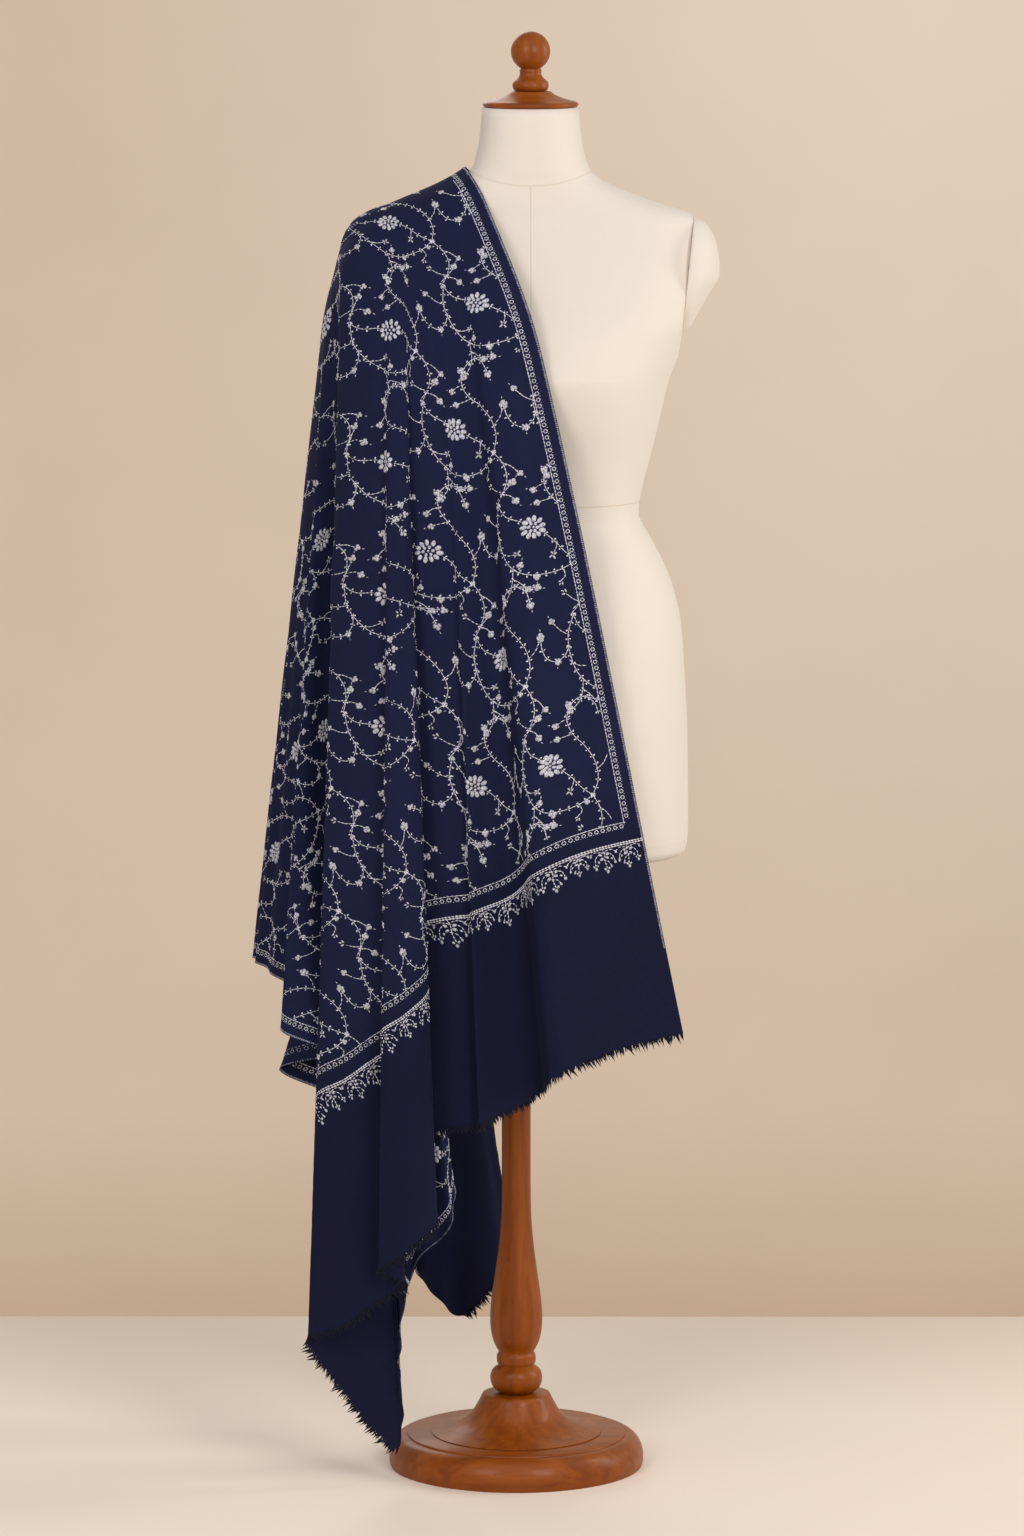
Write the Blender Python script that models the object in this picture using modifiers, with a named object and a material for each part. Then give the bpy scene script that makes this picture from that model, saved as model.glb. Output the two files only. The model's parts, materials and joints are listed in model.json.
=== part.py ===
"""A pashmina shawl draped over one shoulder of a limbless dress form on a turned wooden stand.

Metres, +Z up, with the origin on the floor at the axis of the stand. The form faces -Y, and the shawl lies
over its shoulder on the -X side. The shawl is one rectangle of cloth. It is described by its hang lines: each
one leaves the shoulder ridge, rolls over the shoulder and falls to a point of the cut edge. Cloth between two
hang lines is a smooth blend of them, so that the folds open out of the shoulder and grow with the drop.
"""

import math

import bmesh
import bpy
import numpy as np
from mathutils import Matrix, Vector
from mathutils.bvhtree import BVHTree

# Shawl, as cut
SHAWL_WIDTH = 1.03
FRONT_LENGTH = 1.06
BACK_LENGTH = 1.02
CLOTH = 0.0018
SEAM_GAP = 0.0003
HEM_GAP = 0.0009
COLUMN_STEP = 0.030
FORM_CLEARANCE = 0.0036

# Fringe on the two short ends
FRINGE_STRIP = 0.005
FRINGE_LENGTH = 0.009
FRINGE_UNEVEN = 0.35
LOCKS_PER_COLUMN = 3

# Dress form. An arm plane, the flat end of the torso, runs between two places: half width and level
FORM_X = 0.016
FORM_BOTTOM = 0.714
NECK_TOP = 1.5635
FORM_SEGMENTS = 32
TORSO_SQUARENESS = 0.92
CHEST_LEVEL = 1.27
ARM_PLANE_LOW = (0.170, 1.310)
ARM_PLANE_HIGH = (0.184, 1.440)
PLATE_BULGE = 0.036
PLATE_DEPTH = 0.098
SEAT_GAP = 0.0003

# Neck cap and finial
NECK_CAP_RADIUS = 0.054
NECK_CAP_HEIGHT = 0.0185
BALL_RADIUS = 0.0222
BALL_HEIGHT = 0.044
BALL_ARC = math.radians(150)

# Stand
BASE_RADIUS = 0.147
BASE_HEIGHT = 0.038
BASE_EDGE_LEVEL = 0.010
GROOVE_RADIUS = 0.126
GROOVE_DEPTH = 0.002
PEDESTAL_TOP = 0.083
PEDESTAL_LEDGE = 0.001
POLE_RADIUS = 0.0166

# How far a hang line drops, and how far it reaches out, before it hangs free
ROLL_DROP = 0.035
CHEST_DROP = 0.20
CHEST_SPREAD = 0.036
CHEST_SPREAD_WIDTH = 0.12
ROLL_SPREAD_SHARE = 0.25
LATE_FOLD_LEVEL = 0.75
LATE_FOLD_SPREAD = 0.75

# Steepest slope of a blend, as a multiple of the shorter step beside it
STEEPEST = 1.8

# Shares of each hang line at which the cloth has a row of points
ROW_SHARES = (0.0, 0.014, 0.032, 0.056, 0.086, 0.122, 0.165, 0.225, 0.32, 0.46, 0.60, 0.72, 0.85, 1.0)

# Shoulder ridge: distance from the neck edge of the cloth, place, and reach of the shoulder before and behind it
RIDGE_COLUMNS = ("start", "x", "z", "roll_front", "chest", "roll_back", "blade")
RIDGE = (
    (0.000, -0.0587, 1.4965, -0.052, -0.146, 0.055, 0.112),
    (0.025, -0.0828, 1.4820, -0.055, -0.149, 0.056, 0.116),
    (0.050, -0.1070, 1.4710, -0.058, -0.149, 0.057, 0.117),
    (0.083, -0.1370, 1.4585, -0.061, -0.146, 0.059, 0.115),
    (0.116, -0.1667, 1.4440, -0.064, -0.128, 0.061, 0.104),
    (0.146, -0.1886, 1.4245, -0.064, -0.096, 0.062, 0.086),
    (0.172, -0.2000, 1.4005, -0.058, -0.078, 0.056, 0.070),
    (0.197, -0.2060, 1.3770, -0.048, -0.062, 0.046, 0.054),
    (0.225, -0.2140, 1.3500, -0.031, -0.040, 0.030, 0.035),
    (0.265, -0.2220, 1.3110, 0.000, 0.000, 0.000, 0.000),
)

# Hang lines of the front fall, from its inner edge round to the side. across and along are the place on the flat
# cloth where the line meets the cut edge; x, y and z are where that place hangs. A late line lies in the cloth
# between its neighbours down to LATE_FOLD_LEVEL, and only folds below it.
LINE_COLUMNS = ("start", "across", "along", "x", "y", "z", "late")
W = SHAWL_WIDTH
F = FRONT_LENGTH
B = -BACK_LENGTH
FRONT_LINES = (
    # broad front panel
    (0.000, 0.000, F, 0.189, -0.108, 0.524, False),
    (0.012, 0.063, F, 0.128, -0.132, 0.514, False),
    (0.020, 0.105, F, 0.086, -0.152, 0.503, False),
    (0.030, 0.150, F, 0.040, -0.168, 0.483, False),
    (0.037, 0.200, F, 0.028, -0.124, 0.462, False),
    (0.042, 0.222, F, 0.012, -0.120, 0.447, False),
    (0.048, 0.255, F, -0.018, -0.134, 0.436, False),
    (0.054, 0.286, F, -0.044, -0.154, 0.428, False),
    (0.056, 0.303, F, -0.038, -0.136, 0.424, False),
    (0.060, 0.335, F, -0.076, -0.138, 0.421, False),
    # deep pleat tucked under the narrow front fold
    (0.066, 0.390, F, -0.126, -0.129, 0.408, False),
    (0.071, 0.450, F, -0.168, -0.124, 0.388, False),
    (0.088, 0.585, F, -0.089, -0.176, 0.328, False),
    # narrow front fold
    (0.092, 0.650, F, -0.125, -0.198, 0.289, False),
    (0.097, 0.690, F, -0.156, -0.190, 0.267, False),
    (0.104, 0.735, F, -0.124, -0.172, 0.250, False),
    # second fold, and the edge that turns under it
    (0.115, 0.780, F, -0.160, -0.164, 0.225, False),
    (0.135, 0.830, F, -0.198, -0.168, 0.199, False),
    (0.158, 0.875, F, -0.237, -0.152, 0.180, False),
    (0.162, 0.900, F, -0.222, -0.137, 0.152, False),
    (0.166, 0.940, F, -0.200, -0.129, 0.120, False),
    (0.172, 1.000, F, -0.156, -0.116, 0.061, False),
    # front corner, the lowest point of the shawl, and the long outer edge up to the side
    (0.175, W, F, -0.1335, -0.104, 0.044, False),
    (0.180, W, 0.98, -0.127, -0.088, 0.105, False),
    (0.184, W, 0.88, -0.144, -0.082, 0.175, False),
    (0.188, W, 0.78, -0.162, -0.075, 0.245, False),
    (0.193, W, 0.66, -0.186, -0.050, 0.330, True),
    (0.198, W, 0.54, -0.220, -0.020, 0.419, True),
    (0.205, W, 0.443, -0.2705, -0.028, 0.466, True),
    (0.211, W, 0.39, -0.220, -0.070, 0.4885, True),
    (0.214, W, 0.365, -0.188, -0.094, 0.497, True),
    (0.218, W, 0.335, -0.2155, -0.120, 0.508, True),
    (0.228, W, 0.27, -0.266, -0.116, 0.529, False),
    (0.237, W, 0.18, -0.236, -0.088, 0.553, False),
    (0.247, W, 0.10, -0.262, -0.056, 0.572, False),
)
SIDE_LINE = ((0.265, W, 0.0, -0.299, 0.0, 0.590, False),)
BACK_LINES = (
    # long outer edge, from the side down to the back corner
    (0.247, W, -0.13, -0.262, 0.042, 0.575, False),
    (0.237, W, -0.25, -0.248, 0.088, 0.545, False),
    (0.226, W, -0.36, -0.203, 0.074, 0.505, False),
    (0.216, W, -0.48, -0.206, 0.124, 0.452, False),
    (0.205, W, -0.60, -0.160, 0.106, 0.390, False),
    (0.196, W, -0.72, -0.168, 0.154, 0.320, False),
    (0.188, W, -0.84, -0.140, 0.128, 0.235, False),
    (0.180, W, -0.94, -0.104, 0.146, 0.178, False),
    # back corner and the fringed end
    (0.174, W, B, -0.064, 0.128, 0.146, False),
    (0.168, 0.965, B, -0.021, 0.136, 0.193, False),
    (0.160, 0.90, B, -0.064, 0.156, 0.228, False),
    (0.148, 0.83, B, -0.108, 0.162, 0.262, False),
    (0.134, 0.77, B, -0.128, 0.182, 0.292, False),
    (0.121, 0.69, B, -0.064, 0.176, 0.330, False),
    (0.110, 0.63, B, -0.022, 0.166, 0.355, False),
    (0.099, 0.55, B, -0.062, 0.200, 0.383, False),
    (0.085, 0.46, B, 0.000, 0.186, 0.415, False),
    (0.070, 0.37, B, 0.038, 0.164, 0.440, False),
    (0.053, 0.27, B, 0.066, 0.192, 0.465, False),
    (0.035, 0.17, B, 0.102, 0.166, 0.485, False),
    (0.016, 0.07, B, 0.132, 0.182, 0.505, False),
    (0.000, 0.00, B, 0.152, 0.168, 0.520, False),
)

# Dress form: level, half width, and depth before and behind its axis
TORSO_COLUMNS = ("z", "half_width", "front", "back")
TORSO = (
    (FORM_BOTTOM, 0.168, 0.116, 0.122),
    (0.720, 0.177, 0.124, 0.130),
    (0.735, 0.180, 0.127, 0.133),
    (0.800, 0.180, 0.128, 0.136),
    (0.860, 0.179, 0.127, 0.136),
    (0.935, 0.175, 0.121, 0.126),
    (0.990, 0.170, 0.114, 0.112),
    (1.034, 0.158, 0.105, 0.100),
    (1.071, 0.140, 0.097, 0.090),
    (1.102, 0.123, 0.092, 0.084),
    (1.135, 0.127, 0.094, 0.086),
    (1.169, 0.136, 0.101, 0.090),
    (1.215, 0.147, 0.118, 0.096),
    (1.261, 0.158, 0.131, 0.101),
    (1.300, 0.176, 0.121, 0.104),
    (1.320, 0.188, 0.113, 0.105),
    (1.355, 0.196, 0.094, 0.104),
    (1.395, 0.197, 0.074, 0.092),
    (1.422, 0.196, 0.060, 0.074),
    (1.438, 0.192, 0.054, 0.064),
    (1.447, 0.174, 0.052, 0.061),
    (1.458, 0.138, 0.051, 0.058),
    (1.471, 0.104, 0.050, 0.055),
    (1.483, 0.079, 0.050, 0.054),
    (1.496, 0.066, 0.051, 0.054),
    (1.520, 0.059, 0.051, 0.053),
    (1.545, 0.056, 0.052, 0.053),
    (NECK_TOP, 0.055, 0.052, 0.053),
)


def clear_scene():
    for obj in list(bpy.data.objects):
        bpy.data.objects.remove(obj, do_unlink=True)


def new_collection(name):
    collection = bpy.data.collections.new(name)
    bpy.context.scene.collection.children.link(collection)
    return collection


def new_material(name, colour, roughness, metallic=0.0):
    material = bpy.data.materials.new(name)
    material.use_nodes = True
    shader = material.node_tree.nodes["Principled BSDF"]
    shader.inputs["Base Color"].default_value = (*colour, 1.0)
    shader.inputs["Roughness"].default_value = roughness
    shader.inputs["Metallic"].default_value = metallic
    material.diffuse_color = (*colour, 1.0)
    return material


def new_object(name, mesh, material, collection):
    obj = bpy.data.objects.new(name, mesh)
    if material:
        mesh.materials.append(material)
    collection.objects.link(obj)
    return obj


def mesh_from(name, points, faces):
    mesh = bpy.data.meshes.new(name)
    mesh.from_pydata([tuple(point) for point in points], [], faces)
    mesh.update()
    return mesh


def triangulated(mesh, quad_method):
    """The mesh with its faces parted into triangles, so that every offset of it is parted in the same way."""
    shape = bmesh.new()
    shape.from_mesh(mesh)
    bmesh.ops.triangulate(shape, faces=shape.faces, quad_method=quad_method)
    shape.to_mesh(mesh)
    shape.free()
    return mesh


def unit(vectors):
    return vectors / np.linalg.norm(vectors, axis=1)[:, None]


def bisecting(points):
    """Direction along a row of points: halfway between the step before each point and the step after it."""
    steps = unit(np.diff(points, axis=0))
    return unit(np.concatenate([steps[:1], steps[1:] + steps[:-1], steps[-1:]]))


def hermite(knots, values, at):
    """Smooth curve through values at knots, read at the parameters in at.

    Its slope at a knot is limited by the shorter of the two steps beside it, which keeps the curve from looping.
    """
    knots, values, at = np.asarray(knots, float), np.asarray(values, float), np.asarray(at, float)
    slopes = np.empty_like(values)
    slopes[1:-1] = (values[2:] - values[:-2]) / (knots[2:] - knots[:-2])[:, None]
    slopes[0] = (values[1] - values[0]) / (knots[1] - knots[0])
    slopes[-1] = (values[-1] - values[-2]) / (knots[-1] - knots[-2])
    secants = np.linalg.norm(np.diff(values, axis=0), axis=1) / np.diff(knots)
    steepest = STEEPEST * np.minimum(secants[1:], secants[:-1])
    size = np.linalg.norm(slopes[1:-1], axis=1)
    slopes[1:-1] *= np.minimum(1, steepest / np.maximum(size, 1e-9))[:, None]
    left = np.clip(np.searchsorted(knots, at, side="right") - 1, 0, len(knots) - 2)
    span = (knots[left + 1] - knots[left])[:, None]
    t = ((at - knots[left]) / (knots[left + 1] - knots[left]))[:, None]
    ends = (2 * t**3 - 3 * t**2 + 1) * values[left] + (3 * t**2 - 2 * t**3) * values[left + 1]
    bends = (t**3 - 2 * t**2 + t) * slopes[left] + (t**3 - t**2) * slopes[left + 1]
    return ends + span * bends


def column_of(table, columns, name):
    return np.array([row[columns.index(name)] for row in table], float)


def ridge_at(start):
    """The ridge's columns, by name, at a distance from the neck edge of the cloth."""
    values = hermite(column_of(RIDGE, RIDGE_COLUMNS, "start"), np.array(RIDGE, float)[:, 1:], [start])[0]
    return dict(zip(RIDGE_COLUMNS[1:], values))


def hang_line(start, foot, is_front, knee=None):
    """Points of one hang line: ridge, shoulder roll, chest or shoulder blade, knee if it has one, and foot."""
    ridge = ridge_at(start)
    roll = ridge["roll_front"] if is_front else ridge["roll_back"]
    reach = ridge["chest"] if is_front else ridge["blade"]
    top = np.array((ridge["x"], 0.0, ridge["z"]))
    goal = foot if knee is None else knee
    share = CHEST_DROP / (top[2] - goal[2])
    spread = CHEST_SPREAD * max(0.0, 1 - start / CHEST_SPREAD_WIDTH)
    chest = top + (goal - top) * share
    chest[0] += spread
    chest[1] = reach * (1 - share) + goal[1] * share
    shoulder = top + (chest - top) * (ROLL_DROP / CHEST_DROP)
    shoulder[0] += ROLL_SPREAD_SHARE * spread
    shoulder[1] = roll
    mirrored = top + (top - shoulder) * np.array((0, 1, 0)) + (0, 0, -ROLL_DROP)
    points = [mirrored, top, shoulder, chest] + ([] if knee is None else [knee]) + [foot]
    return np.array(points)


def resampled(points, shares):
    """Points at shares of the length of the smooth curve through points, whose first one only steers it."""
    knots = np.concatenate([[0], np.cumsum(np.linalg.norm(np.diff(points, axis=0), axis=1))])
    fine = hermite(knots, points, np.linspace(knots[1], knots[-1], 400))
    length = np.concatenate([[0], np.cumsum(np.linalg.norm(np.diff(fine, axis=0), axis=1))])
    wanted = np.asarray(shares) * length[-1]
    return np.stack([np.interp(wanted, length, fine[:, axis]) for axis in range(3)], axis=1)


def point_at_level(line, z):
    """Where a hang line passes the level z."""
    fine = resampled(line, np.linspace(0, 1, 200))
    return np.array((np.interp(-z, -fine[:, 2], fine[:, 0]), np.interp(-z, -fine[:, 2], fine[:, 1]), z))


def hang_lines(table):
    """Every hang line of the shawl, as its control points."""
    feet = np.array([row[3:6] for row in table], float)
    starts = column_of(table, LINE_COLUMNS, "start")
    fronts = column_of(table, LINE_COLUMNS, "along") > 0
    late = [row[LINE_COLUMNS.index("late")] for row in table]
    lines = [hang_line(*row) for row in zip(starts, feet, fronts)]
    carried = [index for index, is_late in enumerate(late) if not is_late]
    for index, is_late in enumerate(late):
        if not is_late:
            continue
        before = max(other for other in carried if other < index)
        after = min(other for other in carried if other > index)
        share = LATE_FOLD_SPREAD * (index - before) / (after - before)
        ends = [point_at_level(lines[other], LATE_FOLD_LEVEL) for other in (before, after)]
        knee = ends[0] * (1 - share) + ends[1] * share
        lines[index] = hang_line(starts[index], feet[index], fronts[index], knee)
    return lines


def edge_distance(table):
    """Distance of each hang line's foot along the cut edge from the front inner corner."""
    flat = np.array([row[1:3] for row in table], float)
    return np.concatenate([[0], np.cumsum(np.linalg.norm(np.diff(flat, axis=0), axis=1))])


def shawl_grid(shares):
    """Points of the cloth's middle, as [row, column], the edge distance of each column, and that of the side."""
    table = FRONT_LINES + SIDE_LINE + BACK_LINES
    knots = edge_distance(table)
    rows = np.array([resampled(line, shares) for line in hang_lines(table)])
    steps = []
    for low, high in zip(knots[:-1], knots[1:]):
        count = max(2, round((high - low) / COLUMN_STEP))
        steps.extend(np.linspace(low, high, count, endpoint=False))
    steps.append(knots[-1])
    grid = np.array([hermite(knots, rows[:, index], steps) for index in range(len(shares))])
    return grid, np.array(steps), knots[len(FRONT_LINES)]


def clear_of(points, mesh, clearance):
    """Points moved out to at least the clearance from a rounded mesh."""
    shape = bmesh.new()
    shape.from_mesh(mesh)
    tree = BVHTree.FromBMesh(shape)
    shape.free()
    moved = points.copy()
    for index, point in enumerate(points):
        place, normal, _, _ = tree.find_nearest(Vector(point))
        if (Vector(point) - place).dot(normal) < clearance:
            moved[index] = place + normal * clearance
    return moved


def grid_faces(rows, columns):
    return [
        (row * columns + column, (row + 1) * columns + column, (row + 1) * columns + column + 1,
         row * columns + column + 1)
        for row in range(rows - 1) for column in range(columns - 1)
    ]


def seam_shift(edge, inner):
    """How far points at an edge lie from the seam, for the corners of their wall to stay half a gap clear of it."""
    run = unit(inner - edge)
    return SEAM_GAP / 2 + CLOTH / 2 * np.sqrt(np.maximum(0, 1 - run[:, 1] ** 2))


def add_wall(obj, thickness):
    solidify = obj.modifiers.new("Wall", "SOLIDIFY")
    solidify.thickness = thickness
    solidify.offset = 0
    solidify.use_even_offset = False
    solidify.use_quality_normals = True


def add_cloth(name, grid, material, collection):
    rows, columns, _ = grid.shape
    mesh = triangulated(mesh_from(name, grid.reshape(-1, 3), grid_faces(rows, columns)), "SHORT_EDGE")
    obj = new_object(name, mesh, material, collection)
    add_wall(obj, CLOTH)
    obj.data.shade_smooth()
    return obj


def lock_length(index):
    """Uneven length of one lock of the fringe."""
    wave = math.sin(index * 2.4) + math.sin(index * 5.3 + 1.0)
    return FRINGE_LENGTH * (1 + 0.5 * FRINGE_UNEVEN * wave)


def add_fringe(name, inner, outer, material, collection):
    """A narrow strip of the cloth along its cut end, with tapered locks grown out of its lower face.

    inner and outer are two rows of points: where the strip starts, and the end of the cloth.
    """
    columns = len(outer)
    down = unit(outer - inner)
    side = 0.5 * CLOTH * unit(np.cross(bisecting(outer), down))
    top = outer - down * FRINGE_STRIP
    stations = np.linspace(0, columns - 1, (columns - 1) * LOCKS_PER_COLUMN + 1)
    count = len(stations)
    corners = [
        np.stack([np.interp(stations, range(columns), row[:, axis]) for axis in range(3)], axis=1)
        for row in (top - side, top + side, outer - side, outer + side)
    ]
    points = np.concatenate(corners)
    middles = 0.25 * (corners[2][:-1] + corners[2][1:] + corners[3][:-1] + corners[3][1:])
    tips = [middle + down[index // LOCKS_PER_COLUMN] * lock_length(index)
            for index, middle in enumerate(middles)]
    faces = []
    for index in range(count - 1):
        a, b, c, d = (index + layer * count for layer in range(4))
        tip = 4 * count + index
        faces += [(a, b, b + 1, a + 1), (a, a + 1, c + 1, c), (b, d, d + 1, b + 1)]
        faces += [(c, c + 1, tip), (c + 1, d + 1, tip), (d + 1, d, tip), (d, c, tip)]
    last = count - 1
    faces += [(0, 2 * count, 3 * count, count)]
    faces += [(last, count + last, 3 * count + last, 2 * count + last)]
    mesh = mesh_from(name, np.concatenate([points, tips]), faces)
    shape = bmesh.new()
    shape.from_mesh(mesh)
    bmesh.ops.recalc_face_normals(shape, faces=shape.faces)
    shape.to_mesh(mesh)
    shape.free()
    return new_object(name, mesh, material, collection)


def turned(name, profile, steps, centre_x, material, collection):
    """A turned piece: its half profile, from the top of the axis down the outside to the bottom of the axis."""
    points = [(radius, 0.0, z) for radius, z in profile]
    mesh = bpy.data.meshes.new(name)
    mesh.from_pydata(points, [(index, index + 1) for index in range(len(points) - 1)], [])
    obj = new_object(name, mesh, material, collection)
    obj.location.x = centre_x
    screw = obj.modifiers.new("Turning", "SCREW")
    screw.steps = screw.render_steps = steps
    screw.use_merge_vertices = True
    screw.merge_threshold = 0.0001
    screw.use_smooth_shade = True
    return obj


def smooth_profile(points, count):
    """Profile points at even shares of the smooth curve through (radius, z) points."""
    points = np.array(points, float)
    knots = np.concatenate([[0], np.cumsum(np.linalg.norm(np.diff(points, axis=0), axis=1))])
    return [tuple(point) for point in hermite(knots, points, np.linspace(0, knots[-1], count))]


def arm_plane(z):
    """How far the flat end of the torso, where an arm would be, lies from the torso's middle at the level z."""
    slope = (ARM_PLANE_HIGH[0] - ARM_PLANE_LOW[0]) / (ARM_PLANE_HIGH[1] - ARM_PLANE_LOW[1])
    return ARM_PLANE_LOW[0] + slope * (z - ARM_PLANE_LOW[1])


def ring_of_torso(row, flat_ends):
    """Points round the torso at one level: a little squarer than an ellipse, and flat at the arms if asked."""
    level = dict(zip(TORSO_COLUMNS, row))
    points = []
    for index in range(FORM_SEGMENTS):
        angle = 2 * math.pi * index / FORM_SEGMENTS
        across, deep = math.cos(angle), math.sin(angle)
        reach = math.copysign(level["half_width"] * abs(across) ** TORSO_SQUARENESS, across)
        depth = math.copysign(level["back" if deep > 0 else "front"] * abs(deep) ** TORSO_SQUARENESS, deep)
        if flat_ends and level["z"] > CHEST_LEVEL:
            reach = math.copysign(min(abs(reach), arm_plane(level["z"])), reach)
        points.append((FORM_X + reach, depth, level["z"]))
    return points


def torso_mesh(name, flat_ends=True):
    rings = [ring_of_torso(row, flat_ends) for row in TORSO]
    points = [point for ring in rings for point in ring]
    faces = [tuple(reversed(range(FORM_SEGMENTS)))]
    for level in range(len(rings) - 1):
        for index in range(FORM_SEGMENTS):
            following = (index + 1) % FORM_SEGMENTS
            low, high = level * FORM_SEGMENTS, (level + 1) * FORM_SEGMENTS
            faces.append((low + index, low + following, high + following, high + index))
    faces.append(tuple(range((len(rings) - 1) * FORM_SEGMENTS, len(rings) * FORM_SEGMENTS)))
    mesh = triangulated(mesh_from(name, points, faces), "FIXED")
    mesh.shade_smooth()
    return mesh


def shoulder_mesh(name, side, whole=False):
    """The padded plate on the flat end of a shoulder: half an egg, seated on the arm plane, or the whole egg."""
    low, high = (np.array((across, 0.0, z)) for across, z in (ARM_PLANE_LOW, ARM_PLANE_HIGH))
    shape = bmesh.new()
    bmesh.ops.create_uvsphere(shape, u_segments=24, v_segments=14, radius=1.0)
    if not whole:
        everything = shape.verts[:] + shape.edges[:] + shape.faces[:]
        cut = bmesh.ops.bisect_plane(
            shape, geom=everything, plane_co=(0, 0, 0), plane_no=(-1, 0, 0), clear_outer=True)
        rim = [piece for piece in cut["geom_cut"] if isinstance(piece, bmesh.types.BMEdge)]
        bmesh.ops.contextual_create(shape, geom=rim)
    bmesh.ops.scale(shape, vec=(PLATE_BULGE, PLATE_DEPTH / 2, np.linalg.norm(high - low) / 2), verts=shape.verts)
    bmesh.ops.translate(shape, vec=(SEAT_GAP, 0, 0), verts=shape.verts)
    tilt = math.atan2(high[0] - low[0], high[2] - low[2])
    bmesh.ops.rotate(shape, matrix=Matrix.Rotation(tilt, 3, "Y"), verts=shape.verts)
    bmesh.ops.translate(shape, vec=(low + high) / 2, verts=shape.verts)
    if side < 0:
        bmesh.ops.scale(shape, vec=(-1, 1, 1), verts=shape.verts)
        bmesh.ops.reverse_faces(shape, faces=shape.faces)
    bmesh.ops.translate(shape, vec=(FORM_X, 0, 0), verts=shape.verts)
    mesh = bpy.data.meshes.new(name)
    shape.to_mesh(mesh)
    shape.free()
    mesh.shade_smooth()
    return mesh


def add_form(material, collection):
    new_object("form_torso", torso_mesh("form_torso"), material, collection)
    for name, side in (("form_shoulder_cap_draped", -1), ("form_shoulder_cap_bare", 1)):
        new_object(name, shoulder_mesh(name, side), material, collection)


def add_stand(wood, collection):
    edge_width = BASE_RADIUS - GROOVE_RADIUS
    edge_height = BASE_HEIGHT - GROOVE_DEPTH - BASE_EDGE_LEVEL
    base = [(0.0, BASE_HEIGHT), (GROOVE_RADIUS, BASE_HEIGHT)]
    for angle in np.linspace(0, math.pi / 2, 9):
        base.append((GROOVE_RADIUS + GROOVE_DEPTH + (edge_width - GROOVE_DEPTH) * math.sin(angle),
                     BASE_EDGE_LEVEL + edge_height * math.cos(angle)))
    base += [(BASE_RADIUS - GROOVE_DEPTH, 0.0), (0.0, 0.0)]
    turned("stand_base", base, 36, 0.0, wood, collection)

    foot = BASE_HEIGHT + SEAT_GAP
    flare = smooth_profile(
        [(0.039, PEDESTAL_TOP), (0.044, 0.073), (0.053, 0.059), (0.070, 0.047), (0.098, foot + PEDESTAL_LEDGE)], 10)
    top = PEDESTAL_TOP + PEDESTAL_LEDGE
    pedestal = [(0.0, top), (0.036, top)] + flare + [(0.098, foot), (0.0, foot)]
    turned("stand_pedestal", pedestal, 28, 0.0, wood, collection)

    bottom = top + SEAT_GAP
    pole_top = FORM_BOTTOM - SEAT_GAP
    vase = smooth_profile(
        [(POLE_RADIUS, 0.330), (0.0175, 0.290), (0.0205, 0.255), (0.0250, 0.222), (0.0292, 0.190),
         (0.0300, 0.165), (0.0268, 0.146), (0.0205, 0.133)], 14)
    bead = [(0.0220, 0.130), (0.0225, 0.124), (0.0218, 0.119)]
    knop = smooth_profile(
        [(0.0205, 0.1165), (0.0275, 0.111), (0.0300, 0.102), (0.0275, 0.092), (0.0190, bottom)], 9)
    pole = [(0.0, pole_top), (POLE_RADIUS, pole_top)] + vase + bead + knop + [(0.0, bottom)]
    turned("stand_pole", pole, 20, 0.0, wood, collection)


def add_neck_cap_and_finial(wood, collection):
    foot = NECK_TOP + SEAT_GAP
    top = foot + NECK_CAP_HEIGHT
    cap = [(0.0, top), (0.0215, top - 0.0005), (0.0300, foot + 0.0125), (0.0440, foot + 0.0075),
           (NECK_CAP_RADIUS - 0.002, foot + 0.0055), (NECK_CAP_RADIUS, foot + 0.0035),
           (NECK_CAP_RADIUS - 0.001, foot), (0.0, foot)]
    turned("form_neck_cap", cap, 28, FORM_X, wood, collection)

    low = top + SEAT_GAP
    ball = [(BALL_RADIUS * math.sin(angle), low + BALL_HEIGHT + BALL_RADIUS * math.cos(angle))
            for angle in np.linspace(0, BALL_ARC, 13)]
    collar = smooth_profile(
        [(0.0125, low + 0.0225), (0.0122, low + 0.0185), (0.0185, low + 0.0115), (0.0205, low + 0.006),
         (0.0180, low)], 9)
    turned("form_finial", ball + collar[1:] + [(0.0, low)], 18, FORM_X, wood, collection)


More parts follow.
